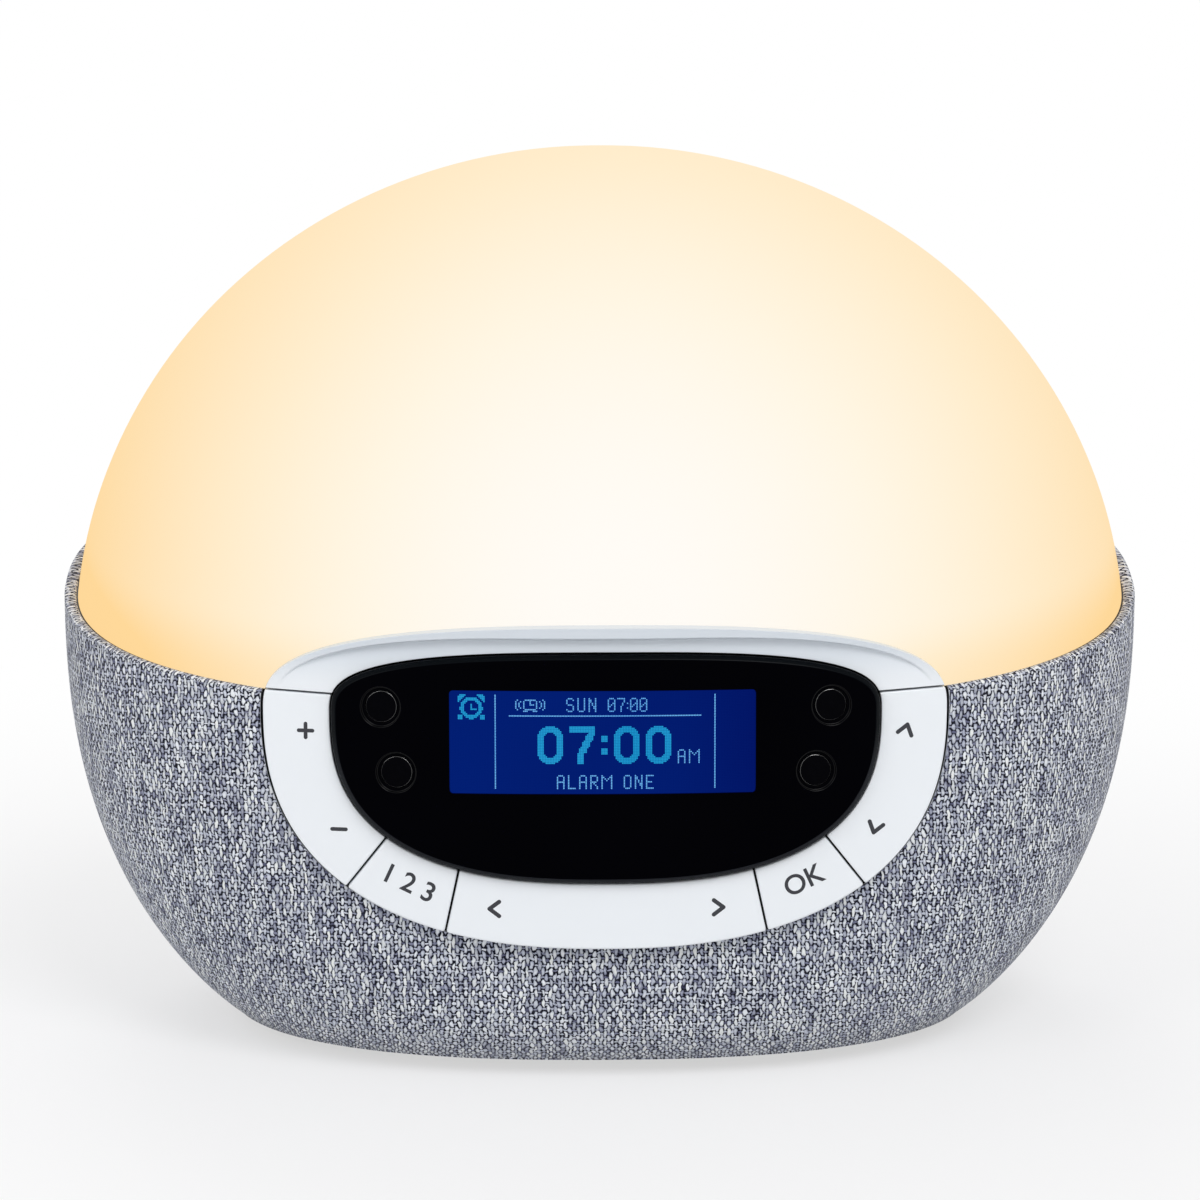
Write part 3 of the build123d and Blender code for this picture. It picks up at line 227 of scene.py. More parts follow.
def tidy_mesh(piece, reach=0.0005):
    """Merges doubled points and turns every face outwards."""
    merge(piece, reach)
    with editing(piece):
        bpy.ops.mesh.normals_make_consistent(inside=False)


def round_edges(piece, wanted, radius, segments):
    """Rounds the edges that a rule picks."""
    with choosing(piece, "EDGE", wanted):
        bpy.ops.mesh.bevel(offset=radius, segments=segments, affect="EDGES")


def cut(piece, cutter, operation="DIFFERENCE"):
    """Takes the cutter's shape out of a piece, or leaves only what both share."""
    modify(piece, "BOOLEAN", operation=operation, solver="EXACT", object=cutter)


def drop(piece):
    bpy.data.objects.remove(piece)


def lay(piece, place):
    """Moves every point of a piece to place(point)."""
    for vertex in piece.data.vertices:
        vertex.co = place(vertex.co)


def smooth(piece, degrees=40):
    only(piece)
    bpy.ops.object.shade_smooth_by_angle(angle=math.radians(degrees))


def join(pieces):
    """Joins pieces into the first one."""
    only(pieces[0])
    for other in pieces[1:]:
        other.select_set(True)
    bpy.ops.object.join()
    return pieces[0]


# %% Grids, plates and copies of the frame's nodes
def sheet(name, columns, rows, place):
    """A grid primitive whose points lie at place(s, t), with s and t running from 0 to 1."""
    bpy.ops.mesh.primitive_grid_add(x_subdivisions=columns, y_subdivisions=rows, size=1)
    piece = bpy.context.object
    piece.name = name
    lay(piece, lambda co: place(co.x + 0.5, co.y + 0.5))
    return piece


def thicken(piece, back_level):
    """Extrudes a sheet on the panel back to a level, so that it becomes a closed plate."""
    with editing(piece):
        bpy.ops.mesh.extrude_region_move()
    for vertex in piece.data.vertices:
        if vertex.select:
            u, v, _ = off_panel(vertex.co)
            vertex.co = on_panel(u, v, back_level)
    tidy_mesh(piece)


def soften(piece, width, degrees=50, segments=3):
    """Rounds the sharp edges, as every moulded part has them, and evens the shading."""
    modify(
        piece, "BEVEL", width=width * MM, segments=segments, limit_method="ANGLE",
        angle_limit=math.radians(degrees),
    )
    smooth(piece)
    modify(piece, "WEIGHTED_NORMAL", keep_sharp=True)


def node_copy(node, name):
    """A copy of a node with its points merged, which has no finish yet."""
    piece = bpy.data.objects.new(name, frame["nodes"][node].data.copy())
    piece.data.materials.clear()
    bpy.context.scene.collection.objects.link(piece)
    merge(piece)
    return piece


def under_parts(node, below):
    """The stems and lugs of a node: those faces of its own mesh that reach below a level."""
    part = node_copy(node, node + "_under")
    levels = [off_panel(vertex.co)[2] for vertex in part.data.vertices]
    with choosing(part, "FACE", lambda face: min(levels[i] for i in face.vertices) > below):
        bpy.ops.mesh.delete(type="FACE")
    smooth(part)
    return part


def settle(piece, finish, body, slot, *nodes):
    """Gives a piece its finish, hangs it on the body it rides on, and hides the nodes it stands for.
    """
    if finish:
        piece.data.materials.append(finish.material)
    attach(piece, body)
    if nodes:
        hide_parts(*nodes)


# %% [markdown]
# ## A small language for shaders
#
# A finish is a tree of nodes. Written out node by node it is hard to read, so a value in the tree is
# wrapped in a small class that understands plus, minus, times and the like. Each operator adds one
# Math node, and the pattern then reads like the formula it is.


# %% Shader maths as Python expressions
def adds(operation):
    """A method of a wire that adds one Math node."""
    def method(wire, *others):
        return wire.owner.node("Math", dict(enumerate((wire, *others))), operation=operation)
    return method


class Wire:
    """One output of a tree of nodes, with arithmetic on it."""

    def __init__(self, owner, socket):
        self.owner = owner
        self.socket = socket

    __add__ = __radd__ = adds("ADD")
    __mul__ = __rmul__ = adds("MULTIPLY")
    __sub__ = adds("SUBTRACT")
    __truediv__ = adds("DIVIDE")
    __pow__ = adds("POWER")
    floor = adds("FLOOR")
    fract = adds("FRACT")
    size = adds("ABSOLUTE")
    most = adds("MAXIMUM")

    def __rsub__(self, other):
        return self.owner.node("Math", {0: other, 1: self}, operation="SUBTRACT")

    def step(self, low, high):
        """Smooth step from 0 at low to 1 at high."""
        inputs = {"Value": self, "From Min": low, "From Max": high}
        return self.owner.node("MapRange", inputs, interpolation_type="SMOOTHSTEP")


class Tree:
    """A tree of nodes, with one method that adds any node to it."""

    def __init__(self, owner):
        owner.use_nodes = True
        self.tree = owner.node_tree

    def node(self, kind, inputs=None, output=0, stops=None, **settings):
        made = self.tree.nodes.new("ShaderNode" + kind)
        for name, value in settings.items():
            setattr(made, name, value)
        if stops:
            while len(made.color_ramp.elements) < len(stops):
                made.color_ramp.elements.new(0.5)
            for element, (place, colour) in zip(made.color_ramp.elements, stops):
                element.position = place
                element.color = colour
        for name, value in (inputs or {}).items():
            self.plug(made.inputs[name], value)
        return Wire(self, made.outputs[output])

    def plug(self, socket, value):
        if isinstance(value, Wire):
            self.tree.links.new(value.socket, socket)
        else:
            socket.default_value = value

    def outputs(self, wire):
        """All the outputs of the node that a wire comes from, by name."""
        return {socket.name: Wire(self, socket) for socket in wire.socket.node.outputs}

    def seen(self):
        """1 for what the camera sees, itself or in a reflection, and 0 for light on the clock."""
        ray = self.outputs(self.node("LightPath"))
        return ray["Is Camera Ray"].most(ray["Is Glossy Ray"])


class Finish(Tree):
    """A material: a tree of nodes that ends in a surface shader."""

    def __init__(self, name, **uniform):
        self.material = bpy.data.materials.new(name)
        super().__init__(self.material)
        self.shader = self.tree.nodes["Principled BSDF"]
        self.wear(**uniform)

    def wear(self, **inputs):
        """Sets or links sockets of the surface shader: base_color stands for Base Color."""
        for name, value in inputs.items():
            words = name.replace("_", " ").title().replace("Ior", "IOR")
            self.plug(self.shader.inputs[words], value)
        return self

    @cached_property
    def place(self):
        """The place on the piece, in metres."""
        return self.node("TexCoord", output="Object")

    def noise(self, vector, scale, detail=2.0, roughness=0.5):
        inputs = {"Vector": vector, "Scale": scale, "Detail": detail, "Roughness": roughness}
        return self.node("TexNoise", inputs)

    def split(self, vector):
        return list(self.outputs(self.node("SeparateXYZ", {"Vector": vector})).values())

    def join(self, x, y, z=0.0):
        return self.node("CombineXYZ", {"X": x, "Y": y, "Z": z})

    def blend(self, factor, first, second, kind="MIX"):
        inputs = {0: factor, 6: first, 7: second}
        return self.node("Mix", inputs, output=2, data_type="RGBA", blend_type=kind)

    def bump(self, height, strength, distance):
        inputs = {"Height": height, "Strength": strength, "Distance": distance * MM}
        self.wear(normal=self.node("Bump", inputs))
        return self


def srgb(red, green, blue):
    """A colour given in screen numbers from 0 to 255, as the shader's linear colour."""
    linear = []
    for value in (red, green, blue):
        share = value / 255
        linear.append(share / 12.92 if share <= 0.04045 else ((share + 0.055) / 1.055) ** 2.4)
    return (*linear, 1.0)


# %% [markdown]
# ## Plain finishes: moulded plastic, metal and board
#
# Moulded plastic is never one flat colour. It has a fine spark-eroded grain that breaks up
# reflections, and its tone drifts a little where the melt flowed. Metal has fine brush lines. One
# function makes each family, and the parts inside the clock take theirs from the record's slots.


# %% Families of finishes
def moulded(name, colour, roughness=0.5, grain=0.02, grain_scale=3500.0, drift=0.06, **uniform):
    """Plastic or rubber with a fine grain and a slow drift of tone."""
    finish = Finish(name, **uniform)
    tone = finish.noise(finish.place, 45.0, 3.0)
    fine = finish.noise(finish.place, grain_scale, 2.0)
    darker = tuple(c * (1 - drift) for c in colour[:3]) + (1.0,)
    colours = finish.blend(tone, darker, colour)
    finish.wear(base_color=colours, roughness=fine * 0.12 + (roughness - 0.06))
    return finish.bump(fine, 0.5, grain)


def metal(name, colour, roughness=0.3, lines=(60.0, 60.0, 2500.0)):
    """Metal with fine lines, close together along the direction with the largest number."""
    finish = Finish(name, metallic=1.0)
    stretched = finish.node("Mapping", {"Vector": finish.place, "Scale": lines})
    brush = finish.noise(stretched, 1.0, 3.0)
    darker = tuple(c * 0.8 for c in colour[:3]) + (1.0,)
    colours = finish.blend(brush, darker, colour)
    finish.wear(base_color=colours, roughness=brush * 0.2 + (roughness - 0.1))
    return finish.bump(brush, 0.2, 0.01)


def circuit_board(name, colour, track_colour):
    """Solder resist with copper tracks showing through it as slightly lighter lines."""
    finish = Finish(name, coat_weight=0.3)
    cells = {"Vector": finish.place, "Scale": 260.0}
    edge = finish.node("TexVoronoi", cells, distance="CHEBYCHEV", feature="F1")
    tracks = (edge * 2.2).fract().step(0.35, 0.5)
    finish.wear(base_color=finish.blend(tracks, colour, track_colour), roughness=0.4)
    return finish.bump(tracks, 0.3, 0.03)


plain_finishes = {
    "white_plastic": moulded("white_moulding", srgb(226, 228, 230), 0.45),
    "grey_plastic": moulded("grey_moulding", srgb(74, 77, 84), 0.55, grain=0.05, grain_scale=1800.0),
    "black_plastic": moulded("shell_black", srgb(14, 14, 16), 0.6, grain=0.04),
    "foot_rubber": moulded("foot_rubber", srgb(34, 34, 36), 0.8, grain=0.05, grain_scale=1500.0),
    "black_gloss": moulded("gloss_black", srgb(4, 4, 6), 0.1, grain=0.0),
    "black_satin": moulded("satin_black", srgb(8, 8, 10), 0.3),
    "cell_glass": moulded("cell_glass", srgb(40, 60, 120), 0.12, grain=0.0),
    "steel": metal("zinc_plated_steel", srgb(190, 192, 196)),
    "board_green": circuit_board("green_board", srgb(14, 70, 38), srgb(30, 104, 58)),
    "board_white": circuit_board("white_board", srgb(226, 226, 220), srgb(206, 204, 196)),
    "switch_black": moulded("black_moulding", srgb(22, 22, 24), 0.45),
    "chip_yellow": moulded("phosphor", srgb(246, 214, 96), 0.4),
    "aluminium_plate": metal("milled_aluminium", srgb(214, 216, 219), 0.35),
    "cable_grey": moulded("ribbon_grey", srgb(168, 168, 172), 0.5),
    "cable_black": moulded("lead_black", srgb(24, 24, 26), 0.5),
    "cone_paper": moulded("pressed_paper", srgb(40, 38, 37), 0.9, grain=0.08, grain_scale=900.0),
    "magnet_ferrite": moulded("ferrite", srgb(52, 52, 56), 0.6, grain=0.05),
    "contact_brass": metal("turned_brass", srgb(206, 168, 92), 0.25),
}
print("plain finishes:", len(plain_finishes))

# %% [markdown]
# ## The dome's glow
#
# The dome is thick opal plastic with light-emitting diodes under its middle. The plastic spreads
# their light, so the glow has no edges. Light fades with the square of its way, so the wall nearest
# to the diodes is almost white, and the far walls, the crown and the seam turn to peach. The squared
# distance from the diodes drives the colour, and that holds from every side of the dome.

# %% Dome finish
lamp_centre = Vector((3.0, body_y, 84.0))
nearest_wall = 59.0
farthest_wall = 107.0
glow_colours = [
    (0.0, (0.96, 0.93, 0.885, 1.0)), (0.24, (0.96, 0.885, 0.745, 1.0)),
    (0.5, (0.96, 0.815, 0.59, 1.0)), (1.0, (0.96, 0.665, 0.31, 1.0)),
]
seam_band = 14.0


def dome_finish():
    finish = Finish("opal_glow", emission_strength=1.0, roughness=0.5, specular_ior_level=0.0)
    x, y, z = finish.split(finish.place)
    dx, dy, dz = x - lamp_centre.x * MM, y - lamp_centre.y * MM, z - lamp_centre.z * MM
    reach = (farthest_wall ** 2 - nearest_wall ** 2) * MM ** 2
    share = (dx * dx + dy * dy + dz * dz - (nearest_wall * MM) ** 2) * (1 / reach)
    over_seam = (z - seam_origin.z * MM) * seam_up.z + (y - seam_origin.y * MM) * seam_up.y
    near_seam = 1 - over_seam.step(0.0, seam_band * MM)
    cloud = finish.noise(finish.place, 14.0, 1.0)
    share = share + near_seam * dx.size().step(0.02, 0.06) * 0.27 + (cloud - 0.5) * 0.04
    finish.wear(
        emission_color=finish.node("ValToRGB", {"Fac": share}, stops=glow_colours),
        base_color=finish.blend(share, srgb(56, 54, 50), srgb(58, 48, 32)),
    )
    return finish.bump(finish.noise(finish.place, 2600.0), 0.3, 0.01)


# %% [markdown]
# ## Cutters
#
# Two openings go through the body: the panel's at the front and the connector panel's at the back.
# Each is a solid that is taken out of the cloth and the dome with a Boolean modifier.


# %% Panel cutter and rear cutter
dome_gap = 0.03
sleeve_gap = 0.55
dome_sink = 0.15
cutter_reach = 30.0
cutter_points = 200


def panel_cutter(gap):
    """A prism that is wider than the ring's outline by a gap and stands square to the panel."""
    bpy.ops.mesh.primitive_circle_add(vertices=cutter_points, radius=1, fill_type="NGON")
    piece = bpy.context.object
    for i, vertex in enumerate(piece.data.vertices):
        u, v = outline_point(ring, 2 * math.pi * i / cutter_points, -gap)
        vertex.co = (panel_origin + Vector((u, 0, 0)) + panel_up * v - panel_out * cutter_reach) * MM
    with editing(piece):
        shift = panel_out * (2 * cutter_reach * MM)
        bpy.ops.mesh.extrude_region_move(TRANSFORM_OT_translate={"value": shift})
    tidy_mesh(piece)
    return piece


rear_width = 84.0
rear_height = 46.0
rear_centre = 33.0
rear_radius = 8.0


def round_corners(block, along, radius):
    """Rounds the four edges of a block that run along a direction."""
    def runs_along(edge):
        first, second = (block.data.vertices[i].co for i in edge.vertices)
        return abs((second - first).normalized().dot(along)) > 0.9

    round_edges(block, runs_along, radius * MM, 10)


def rear_cutter():
    bpy.ops.mesh.primitive_cube_add(size=1)
    piece = bpy.context.object

    def place(co):
        y = body_y + half_depth * (1 + co.y)
        return Vector((co.x * rear_width, y, floor_z + rear_centre + co.z * rear_height)) * MM

    lay(piece, place)
    round_corners(piece, Vector((0, 1, 0)), rear_radius)
    tidy_mesh(piece)
    return piece


ring_tool = panel_cutter(sleeve_gap)
dome_tool = panel_cutter(dome_gap)
rear_tool = rear_cutter()

# %% [markdown]
# ## The dome
#
# The dome starts as a sphere. Its level circles become power curves and its height is stretched, so
# it gets the body's boxy oval plan. A tilted cut makes the sloping seam, Solidify gives the opal
# wall, and the panel's prism makes room for the key ring.


# %% Dome
dome_columns = 192
dome_rows = 112


def make_dome():
    bpy.ops.mesh.primitive_uv_sphere_add(segments=dome_columns, ring_count=dome_rows, radius=1)
    dome = bpy.context.object
    dome.name = "light_dome"

    def place(co):
        height = dome_centre_height + dome_rise * co.z
        flat = math.hypot(co.x, co.y)
        return on_body(math.atan2(co.y, co.x), dome_half_width, dome_half_depth, height, flat) * MM

    lay(dome, place)
    seam_place = seam_origin - seam_up * dome_sink
    with editing(dome):
        bpy.ops.mesh.bisect(plane_co=seam_place * MM, plane_no=seam_up, clear_inner=True)
    modify(dome, "SOLIDIFY", thickness=dome_wall * MM, offset=-1.0)
    cut(dome, dome_tool)
    drop(dome_tool)
    tidy_mesh(dome)
    smooth(dome, 35)
    settle(dome, dome_finish(), "case", "dome_plastic", "dome_diffuser")
    return dome


light_dome = make_dome()
print("dome faces", len(light_dome.data.polygons))

# %% [markdown]
# ## The woven cloth
#
# The bowl wears a sleeve of melange cloth: a plain weave of grey, slate and near-white yarns. The
# sleeve is a sheet laid round the body, and its UV map is measured in millimetres of cloth, so that
# threads keep their true width as on a real sleeve. The weave itself is a formula: warp and weft
# rise and sink in turn, whichever is higher shows, and each float of yarn has its own tone. Shade is
# painted in too: each warp float is lighter in its middle and darker at its edges, and the gaps
# between floats are near black, partly the yarn underneath and partly painted shadow.

# %% Weave finish
warp_pitch = 0.73
weft_pitch = 1.15
cloth_map = "cloth"


def floats(finish, along, across_cell, own, other):
    """The visible stretches of one set of threads, each named by a random triple.

    along runs along the threads and across_cell across one of them. own and other are the numbers
    of the thread and of the thread that it crosses. A thread is on top at every second crossing.
    """
    turn = (along - 0.5 + own) * 0.5
    number = (turn + 0.5).floor()
    from_middle = (turn - number) * 2
    random = finish.node("TexWhiteNoise", {"Vector": finish.join(own, number, other)}, output=1)
    return from_middle, across_cell - 0.5, finish.split(random)


def cloth_finish():
    finish = Finish("melange_weave", sheen_weight=0.15, sheen_roughness=0.5, specular_ior_level=0.2)
    flat = finish.node("UVMap", uv_map=cloth_map)
    u, v, _ = finish.split(flat)
    sway = finish.noise(flat, 0.3, 2.0)
    drift = finish.noise(flat, 0.21, 2.0)
    wobble = finish.noise(flat, 1.3, 1.0)
    x = u * (1 / warp_pitch) + sway * 2.0 + wobble * 0.7
    y = v * (1 / weft_pitch) + drift * 1.6 + wobble * 0.6
    warp = x.floor()
    weft = y.floor()

    along, across, dice = floats(finish, y, x - warp, warp, 0.0)
    twist = finish.noise(finish.join(warp * 5.3, v * 0.4), 1.0, 1.0)
    width = dice[0] * 0.1 + twist * 0.3 + 0.28
    length = dice[1] ** 3 * 0.34 + 0.67
    oval = 1 - ((across + (dice[2] - 0.5) * 0.2) / width) ** 2 - (along / length) ** 2
    warmth = dice[1]
    warp_tone = dice[2]
    roundness = oval.most(0.0) ** 0.5
    along, across, dice = floats(finish, x + 1, y - weft, weft, 5.0)
    dash = 1 - (along * (1 / 0.56)) ** 2 - (across / (dice[0] * 0.08 + 0.16)) ** 2
    weft_tone = dice[2]

    streak = finish.noise(finish.join(warp * 3.7, v * 0.12), 1.0, 2.0)
    cloud = finish.noise(finish.join(u * 0.3, v * 0.12), 1.0, 3.0)
    fibre = finish.noise(finish.join(x * 6.0, y * 2.0), 1.0, 2.0)
    foot = 1 - v.step(0.0, 30.0)
    melange = (streak - 0.5) * 1.2 + (cloud - 0.5) * 0.2 + (fibre - 0.5) * 0.45 + foot * 0.07
    stops = [
        (0.0, srgb(40, 41, 66)), (0.25, srgb(98, 101, 128)), (0.5, srgb(158, 163, 183)),
        (0.75, srgb(202, 207, 219)), (1.0, srgb(236, 239, 245)),
    ]
    # painted shade: roundness makes each warp float lighter in its middle and darker at its edges;
    # warp_tone and melange are the yarn's own tone
    warp_shade = warp_tone * 0.42 + roundness * 0.55 + 0.08 + melange
    warp_colour = finish.node("ValToRGB", {"Fac": warp_shade}, stops=stops)
    warp_colour = finish.blend(warmth, warp_colour, srgb(255, 254, 246), kind="MULTIPLY")
    weft_colour = finish.node("ValToRGB", {"Fac": weft_tone * 0.6 + 0.22 + melange}, stops=stops)
    # painted shadow: the gaps between floats are near black, partly the dark yarn underneath and
    # partly shade
    under = finish.blend(fibre, srgb(0, 0, 8), srgb(20, 22, 40))
    shown = finish.blend(dash.step(-0.05, 0.3), under, weft_colour)
    shown = finish.blend(oval.step(0.0, 0.2), shown, warp_colour)
    finish.wear(base_color=shown, roughness=0.85)
    height = roundness.most(dash.most(0.0) ** 0.5 * 0.5)
    return finish.bump(height + fibre * 0.15, 0.8, 0.2)


weave = cloth_finish()

# %% [markdown]
# The sleeve is a grid whose columns go round the body and whose rows climb it. It is cut along the
# seam, opened for both panels and given the cloth's thickness. Arc lengths along its rows and
# columns make the UV map, with the join of the map at the back, where a real sleeve is sewn.

# %% Sleeve
sleeve_columns = 288
sleeve_rows = 84
sleeve_foot = 1.5
seam_spare = 4.0
sleeve_top = seam_height + half_depth * math.tan(seam_slope) + seam_spare


def sleeve_height(t):
    """Height of a row: rows are closer together near the rounded foot."""
    return sleeve_foot + (sleeve_top - sleeve_foot) * (0.25 * t + 0.75 * t * t)


def sleeve_place(s, t):
    height = sleeve_height(t)
    return on_body(math.pi / 2 - 2 * math.pi * s, *bowl_halves(height), height) * MM


def cloth_lengths(place, columns, rows):
    """Arc length of every grid point, round from the front's middle and up from the foot, in mm."""
    grid = [[place(i / columns, j / rows) for i in range(columns + 1)] for j in range(rows + 1)]
    round_by = []
    for row in grid:
        run = [0.0, *accumulate((b - a).length / MM for a, b in zip(row, row[1:]))]
        round_by.append([length - run[columns // 2] for length in run])
    up_by = [[0.0] * (columns + 1)]
    for lower, upper in zip(grid, grid[1:]):
        up_by.append([total + (b - a).length / MM for total, a, b in zip(up_by[-1], lower, upper)])
    return round_by, up_by


def lay_cloth(piece, place, columns, rows):
    """Writes the arc lengths into the piece's UV map, face corner by face corner."""
    round_by, up_by = cloth_lengths(place, columns, rows)
    chart = piece.data.uv_layers[0]
    chart.name = cloth_map
    for corner in chart.uv:
        i = round(corner.vector.x * columns)
        j = round(corner.vector.y * rows)
        corner.vector = (round_by[j][i], up_by[j][i])


def make_sleeve():
    sleeve = sheet("fabric_sleeve", sleeve_columns, sleeve_rows, sleeve_place)
    lay_cloth(sleeve, sleeve_place, sleeve_columns, sleeve_rows)
    seam_place = seam_origin - seam_up * (seam_gap / 2)
    with editing(sleeve):
        bpy.ops.mesh.bisect(plane_co=seam_place * MM, plane_no=seam_up, clear_outer=True)
    tidy_mesh(sleeve, 0.001)
    modify(sleeve, "SOLIDIFY", thickness=fabric_thickness * MM, offset=-1.0)
    cut(sleeve, ring_tool)
    cut(sleeve, rear_tool)
    smooth(sleeve, 50)
    settle(sleeve, weave, "case", "woven_fabric", "fabric_wrap")
    return sleeve


sleeve = make_sleeve()

# %% [markdown]
# At the seam the cloth is turned over the bowl's edge and tucked in beside the dome. The turned edge
# is a flat roll, and a ring of such a section is a torus: its large circle becomes the body's oval
# and follows the sloping seam, and its small circle is stretched from the cloth to the dome. The
# cloth's lower edge under the foot has the same kind of roll.

# %% Hem
hem_turns = 288
hem_sides = 16
hem_rise = 0.5
hem_gap = 0.3
foot_hem = 1.7
seam_rounds = 8
oval_share = 0.53


def seam_level(y):
    """Height of the seam plane over the underside."""
    return seam_height + y * math.tan(seam_slope)


def on_seam(angle, halves):
    """Point of an outline on the seam plane. halves gives the outline's half axes at a height."""
    height = seam_height
    for _ in range(seam_rounds):
        x, y = power_point(angle, *halves(height), plan_power)
        height = seam_level(y)
    return Vector((x, body_y + y, floor_z + height))


def dome_halves(height):
    """Half axes of the dome at a height, with the hem's gap round it."""
    share = math.sqrt(1 - ((height - dome_centre_height) / dome_rise) ** 2)
    return dome_half_width * share + hem_gap, dome_half_depth * share + hem_gap


def foot_outline(angle, inset):
    """Point of the sleeve's lower edge, moved inwards by inset."""
    half_x, half_y = bowl_halves(sleeve_foot)
    return on_body(angle, half_x - inset, half_y - inset, sleeve_foot)


def make_hem(name, outer, inner, up, lift):
    """A flat roll between two outlines. up is its outward direction and lift moves it along up."""
    bpy.ops.mesh.primitive_torus_add(
        major_segments=hem_turns, minor_segments=hem_sides, major_radius=2, minor_radius=1,
    )
    hem = bpy.context.object
    hem.name = name
    chart = hem.data.uv_layers[0]
    chart.name = cloth_map

    def place(co):
        reach = math.hypot(co.x, co.y) - 2
        angle = math.atan2(co.y, co.x)
        middle = inner(angle) * (0.5 - reach / 2) + outer(angle) * (0.5 + reach / 2)
        return (middle + up * (co.z * hem_rise + lift)) * MM

    lay(hem, place)
    front = -math.pi / 2
    girth = math.pi * ((outer(front) - inner(front)).length / 2 + hem_rise)
    half_round = math.pi * (half_width + half_depth) * oval_share
    for corner in chart.uv:
        corner.vector = ((corner.vector.x - 0.5) * 2 * half_round, corner.vector.y * girth)
    cut(hem, ring_tool)
    cut(hem, rear_tool)
    tidy_mesh(hem)
    smooth(hem, 50)
    settle(hem, weave, "case", "woven_fabric")
    return hem


hems = [
    make_hem(
        "seam_hem", lambda angle: on_seam(angle, bowl_halves),
        lambda angle: on_seam(angle, dome_halves), seam_up, -seam_gap / 2,
    ),
    make_hem(
        "foot_hem", lambda angle: foot_outline(angle, 0.0),
        lambda angle: foot_outline(angle, foot_hem), Vector((0, 0, -1)), 0.0,
    ),
]
drop(ring_tool)
drop(rear_tool)

# %% [markdown]
# ## White keys
#
# The keys are sectors of one ring, moulded in a satin white with a faint cool tone. Their division
# lines run straight from the window to the ring's edge, so each cap is a grid between two points on
# the window's outline and two on the ring's. The crossing of a line and an outline is found by
# halving an interval. Caps are extruded back and get soft edges from a Bevel modifier.

# %% Key finish
satin_white = moulded(
    "satin_white", srgb(232, 236, 240), 0.34,
    grain=0.006, grain_scale=5200.0, drift=0.02, coat_weight=0.15,
)


# %% Division lines
visor_line = ((50.5, 16.2), (63.4, 16.8))
corner_line = ((40.9, -10.6), (48.45, -20.2))
foot_line = ((27.5, -16.85), (30.05, -28.5))
window_gap = 0.3
visor_search = math.radians(80)
key_search = math.radians(20)


def crossing(outline, line, shift, inset, highest):
    """Angle at which an outline's right half meets a line that is shifted towards the visor."""
    (u0, v0), (u1, v1) = line
    length = math.hypot(u1 - u0, v1 - v0)
    side_u = -(v1 - v0) / length
    side_v = (u1 - u0) / length
    low = -math.pi / 2
    high = highest
    for _ in range(40):
        middle = (low + high) / 2
        u, v = outline_point(outline, middle, inset)
        if (u - u0) * side_u + (v - v0) * side_v > shift:
            high = middle
        else:
            low = middle
    return (low + high) / 2


def line_angles(line, shift, highest):
    """Where a division line meets the window's gap and the ring's edge."""
    inner = crossing(window, line, shift, -window_gap, highest)
    outer = crossing(ring, line, shift, 0.0, highest)
    return inner, outer


def mirrored(angles, over_top=False):
    """The same line on the left half. Keys reach it round the foot, and the visor over the top."""
    return tuple((math.pi if over_top else -math.pi) - angle for angle in angles)


def ring_place(first, last, s, t):
    """Point (u, v) between two division lines: s runs along the ring, t out from the window."""
    inner = outline_point(window, first[0] + (last[0] - first[0]) * s, -window_gap)
    outer = outline_point(ring, first[1] + (last[1] - first[1]) * s)
    return inner[0] + (outer[0] - inner[0]) * t, inner[1] + (outer[1] - inner[1]) * t


# %% Caps
edge_softness = 0.4
stem_clearance = 0.05
cap_rows = 10
half_gap = key_gap / 2
corner_upper = line_angles(corner_line, half_gap, key_search)
corner_lower = line_angles(corner_line, -half_gap, key_search)
side_sides = (corner_upper, line_angles(visor_line, -half_gap, visor_search))
corner_sides = (line_angles(foot_line, half_gap, key_search), corner_lower)
foot_right = line_angles(foot_line, -half_gap, key_search)


def make_cap(name, node, first, last, columns):
    """One key: its cap, with the frame's own stems and lugs under it."""
    cap = sheet(name, columns, cap_rows, lambda s, t: on_panel(*ring_place(first, last, s, t)))
    thicken(cap, -cap_thickness)
    soften(cap, edge_softness)
    cap = join([cap, under_parts(node, -cap_thickness - stem_clearance)])
    settle(cap, satin_white, node, "white_key_plastic", node)


make_cap("navigation_cap", "navigation_rocker", *side_sides, 44)
make_cap("select_cap", "select_key", *corner_sides, 24)
make_cap("brightness_cap", "brightness_rocker", *[mirrored(side) for side in side_sides], 44)
make_cap("preset_cap", "preset_key", *[mirrored(side) for side in corner_sides], 24)
make_cap("volume_cap", "volume_rocker", mirrored(foot_right), foot_right, 56)

# %% [markdown]
# ## The visor
#
# The visor closes the ring over the window. It rises from the keys' level at its ends to two and
# a half millimetres at its crown, where it ends in a rounded lip. Under the lip a cove is hollowed
# out, so the lip throws a soft shadow. All of that is one height formula on a grid.

# %% Visor
crown_low = 76.0
crown_high = 85.0


def visor_finish():
    """The keys' satin white, with painted shade: darker and bluer towards the crown."""
    finish = Finish("visor_white", coat_weight=0.15)
    _, _, z = finish.split(finish.place)
    # painted shade: the base colour turns darker and bluer up the visor towards its crown
    crown = z.step(crown_low * MM, crown_high * MM)
    crown = crown + (finish.noise(finish.place, 45.0, 3.0) - 0.5) * 0.1
    fine = finish.noise(finish.place, 5200.0)
    finish.wear(
        base_color=finish.blend(crown, srgb(231, 235, 239), srgb(211, 218, 225)),
        roughness=fine * 0.12 + 0.28,
    )
    return finish.bump(fine, 0.5, 0.006)


visor_foot = 16.2
visor_rise = 2.5
visor_swell = 1.5
lip_width = 2.2
lip_step = 0.3
cove_floor = 0.06
cove_edge = 0.16
cove_share = 1.9
visor_back = -4.4
visor_softness = 0.55
visor_columns = 150
visor_rows = 64


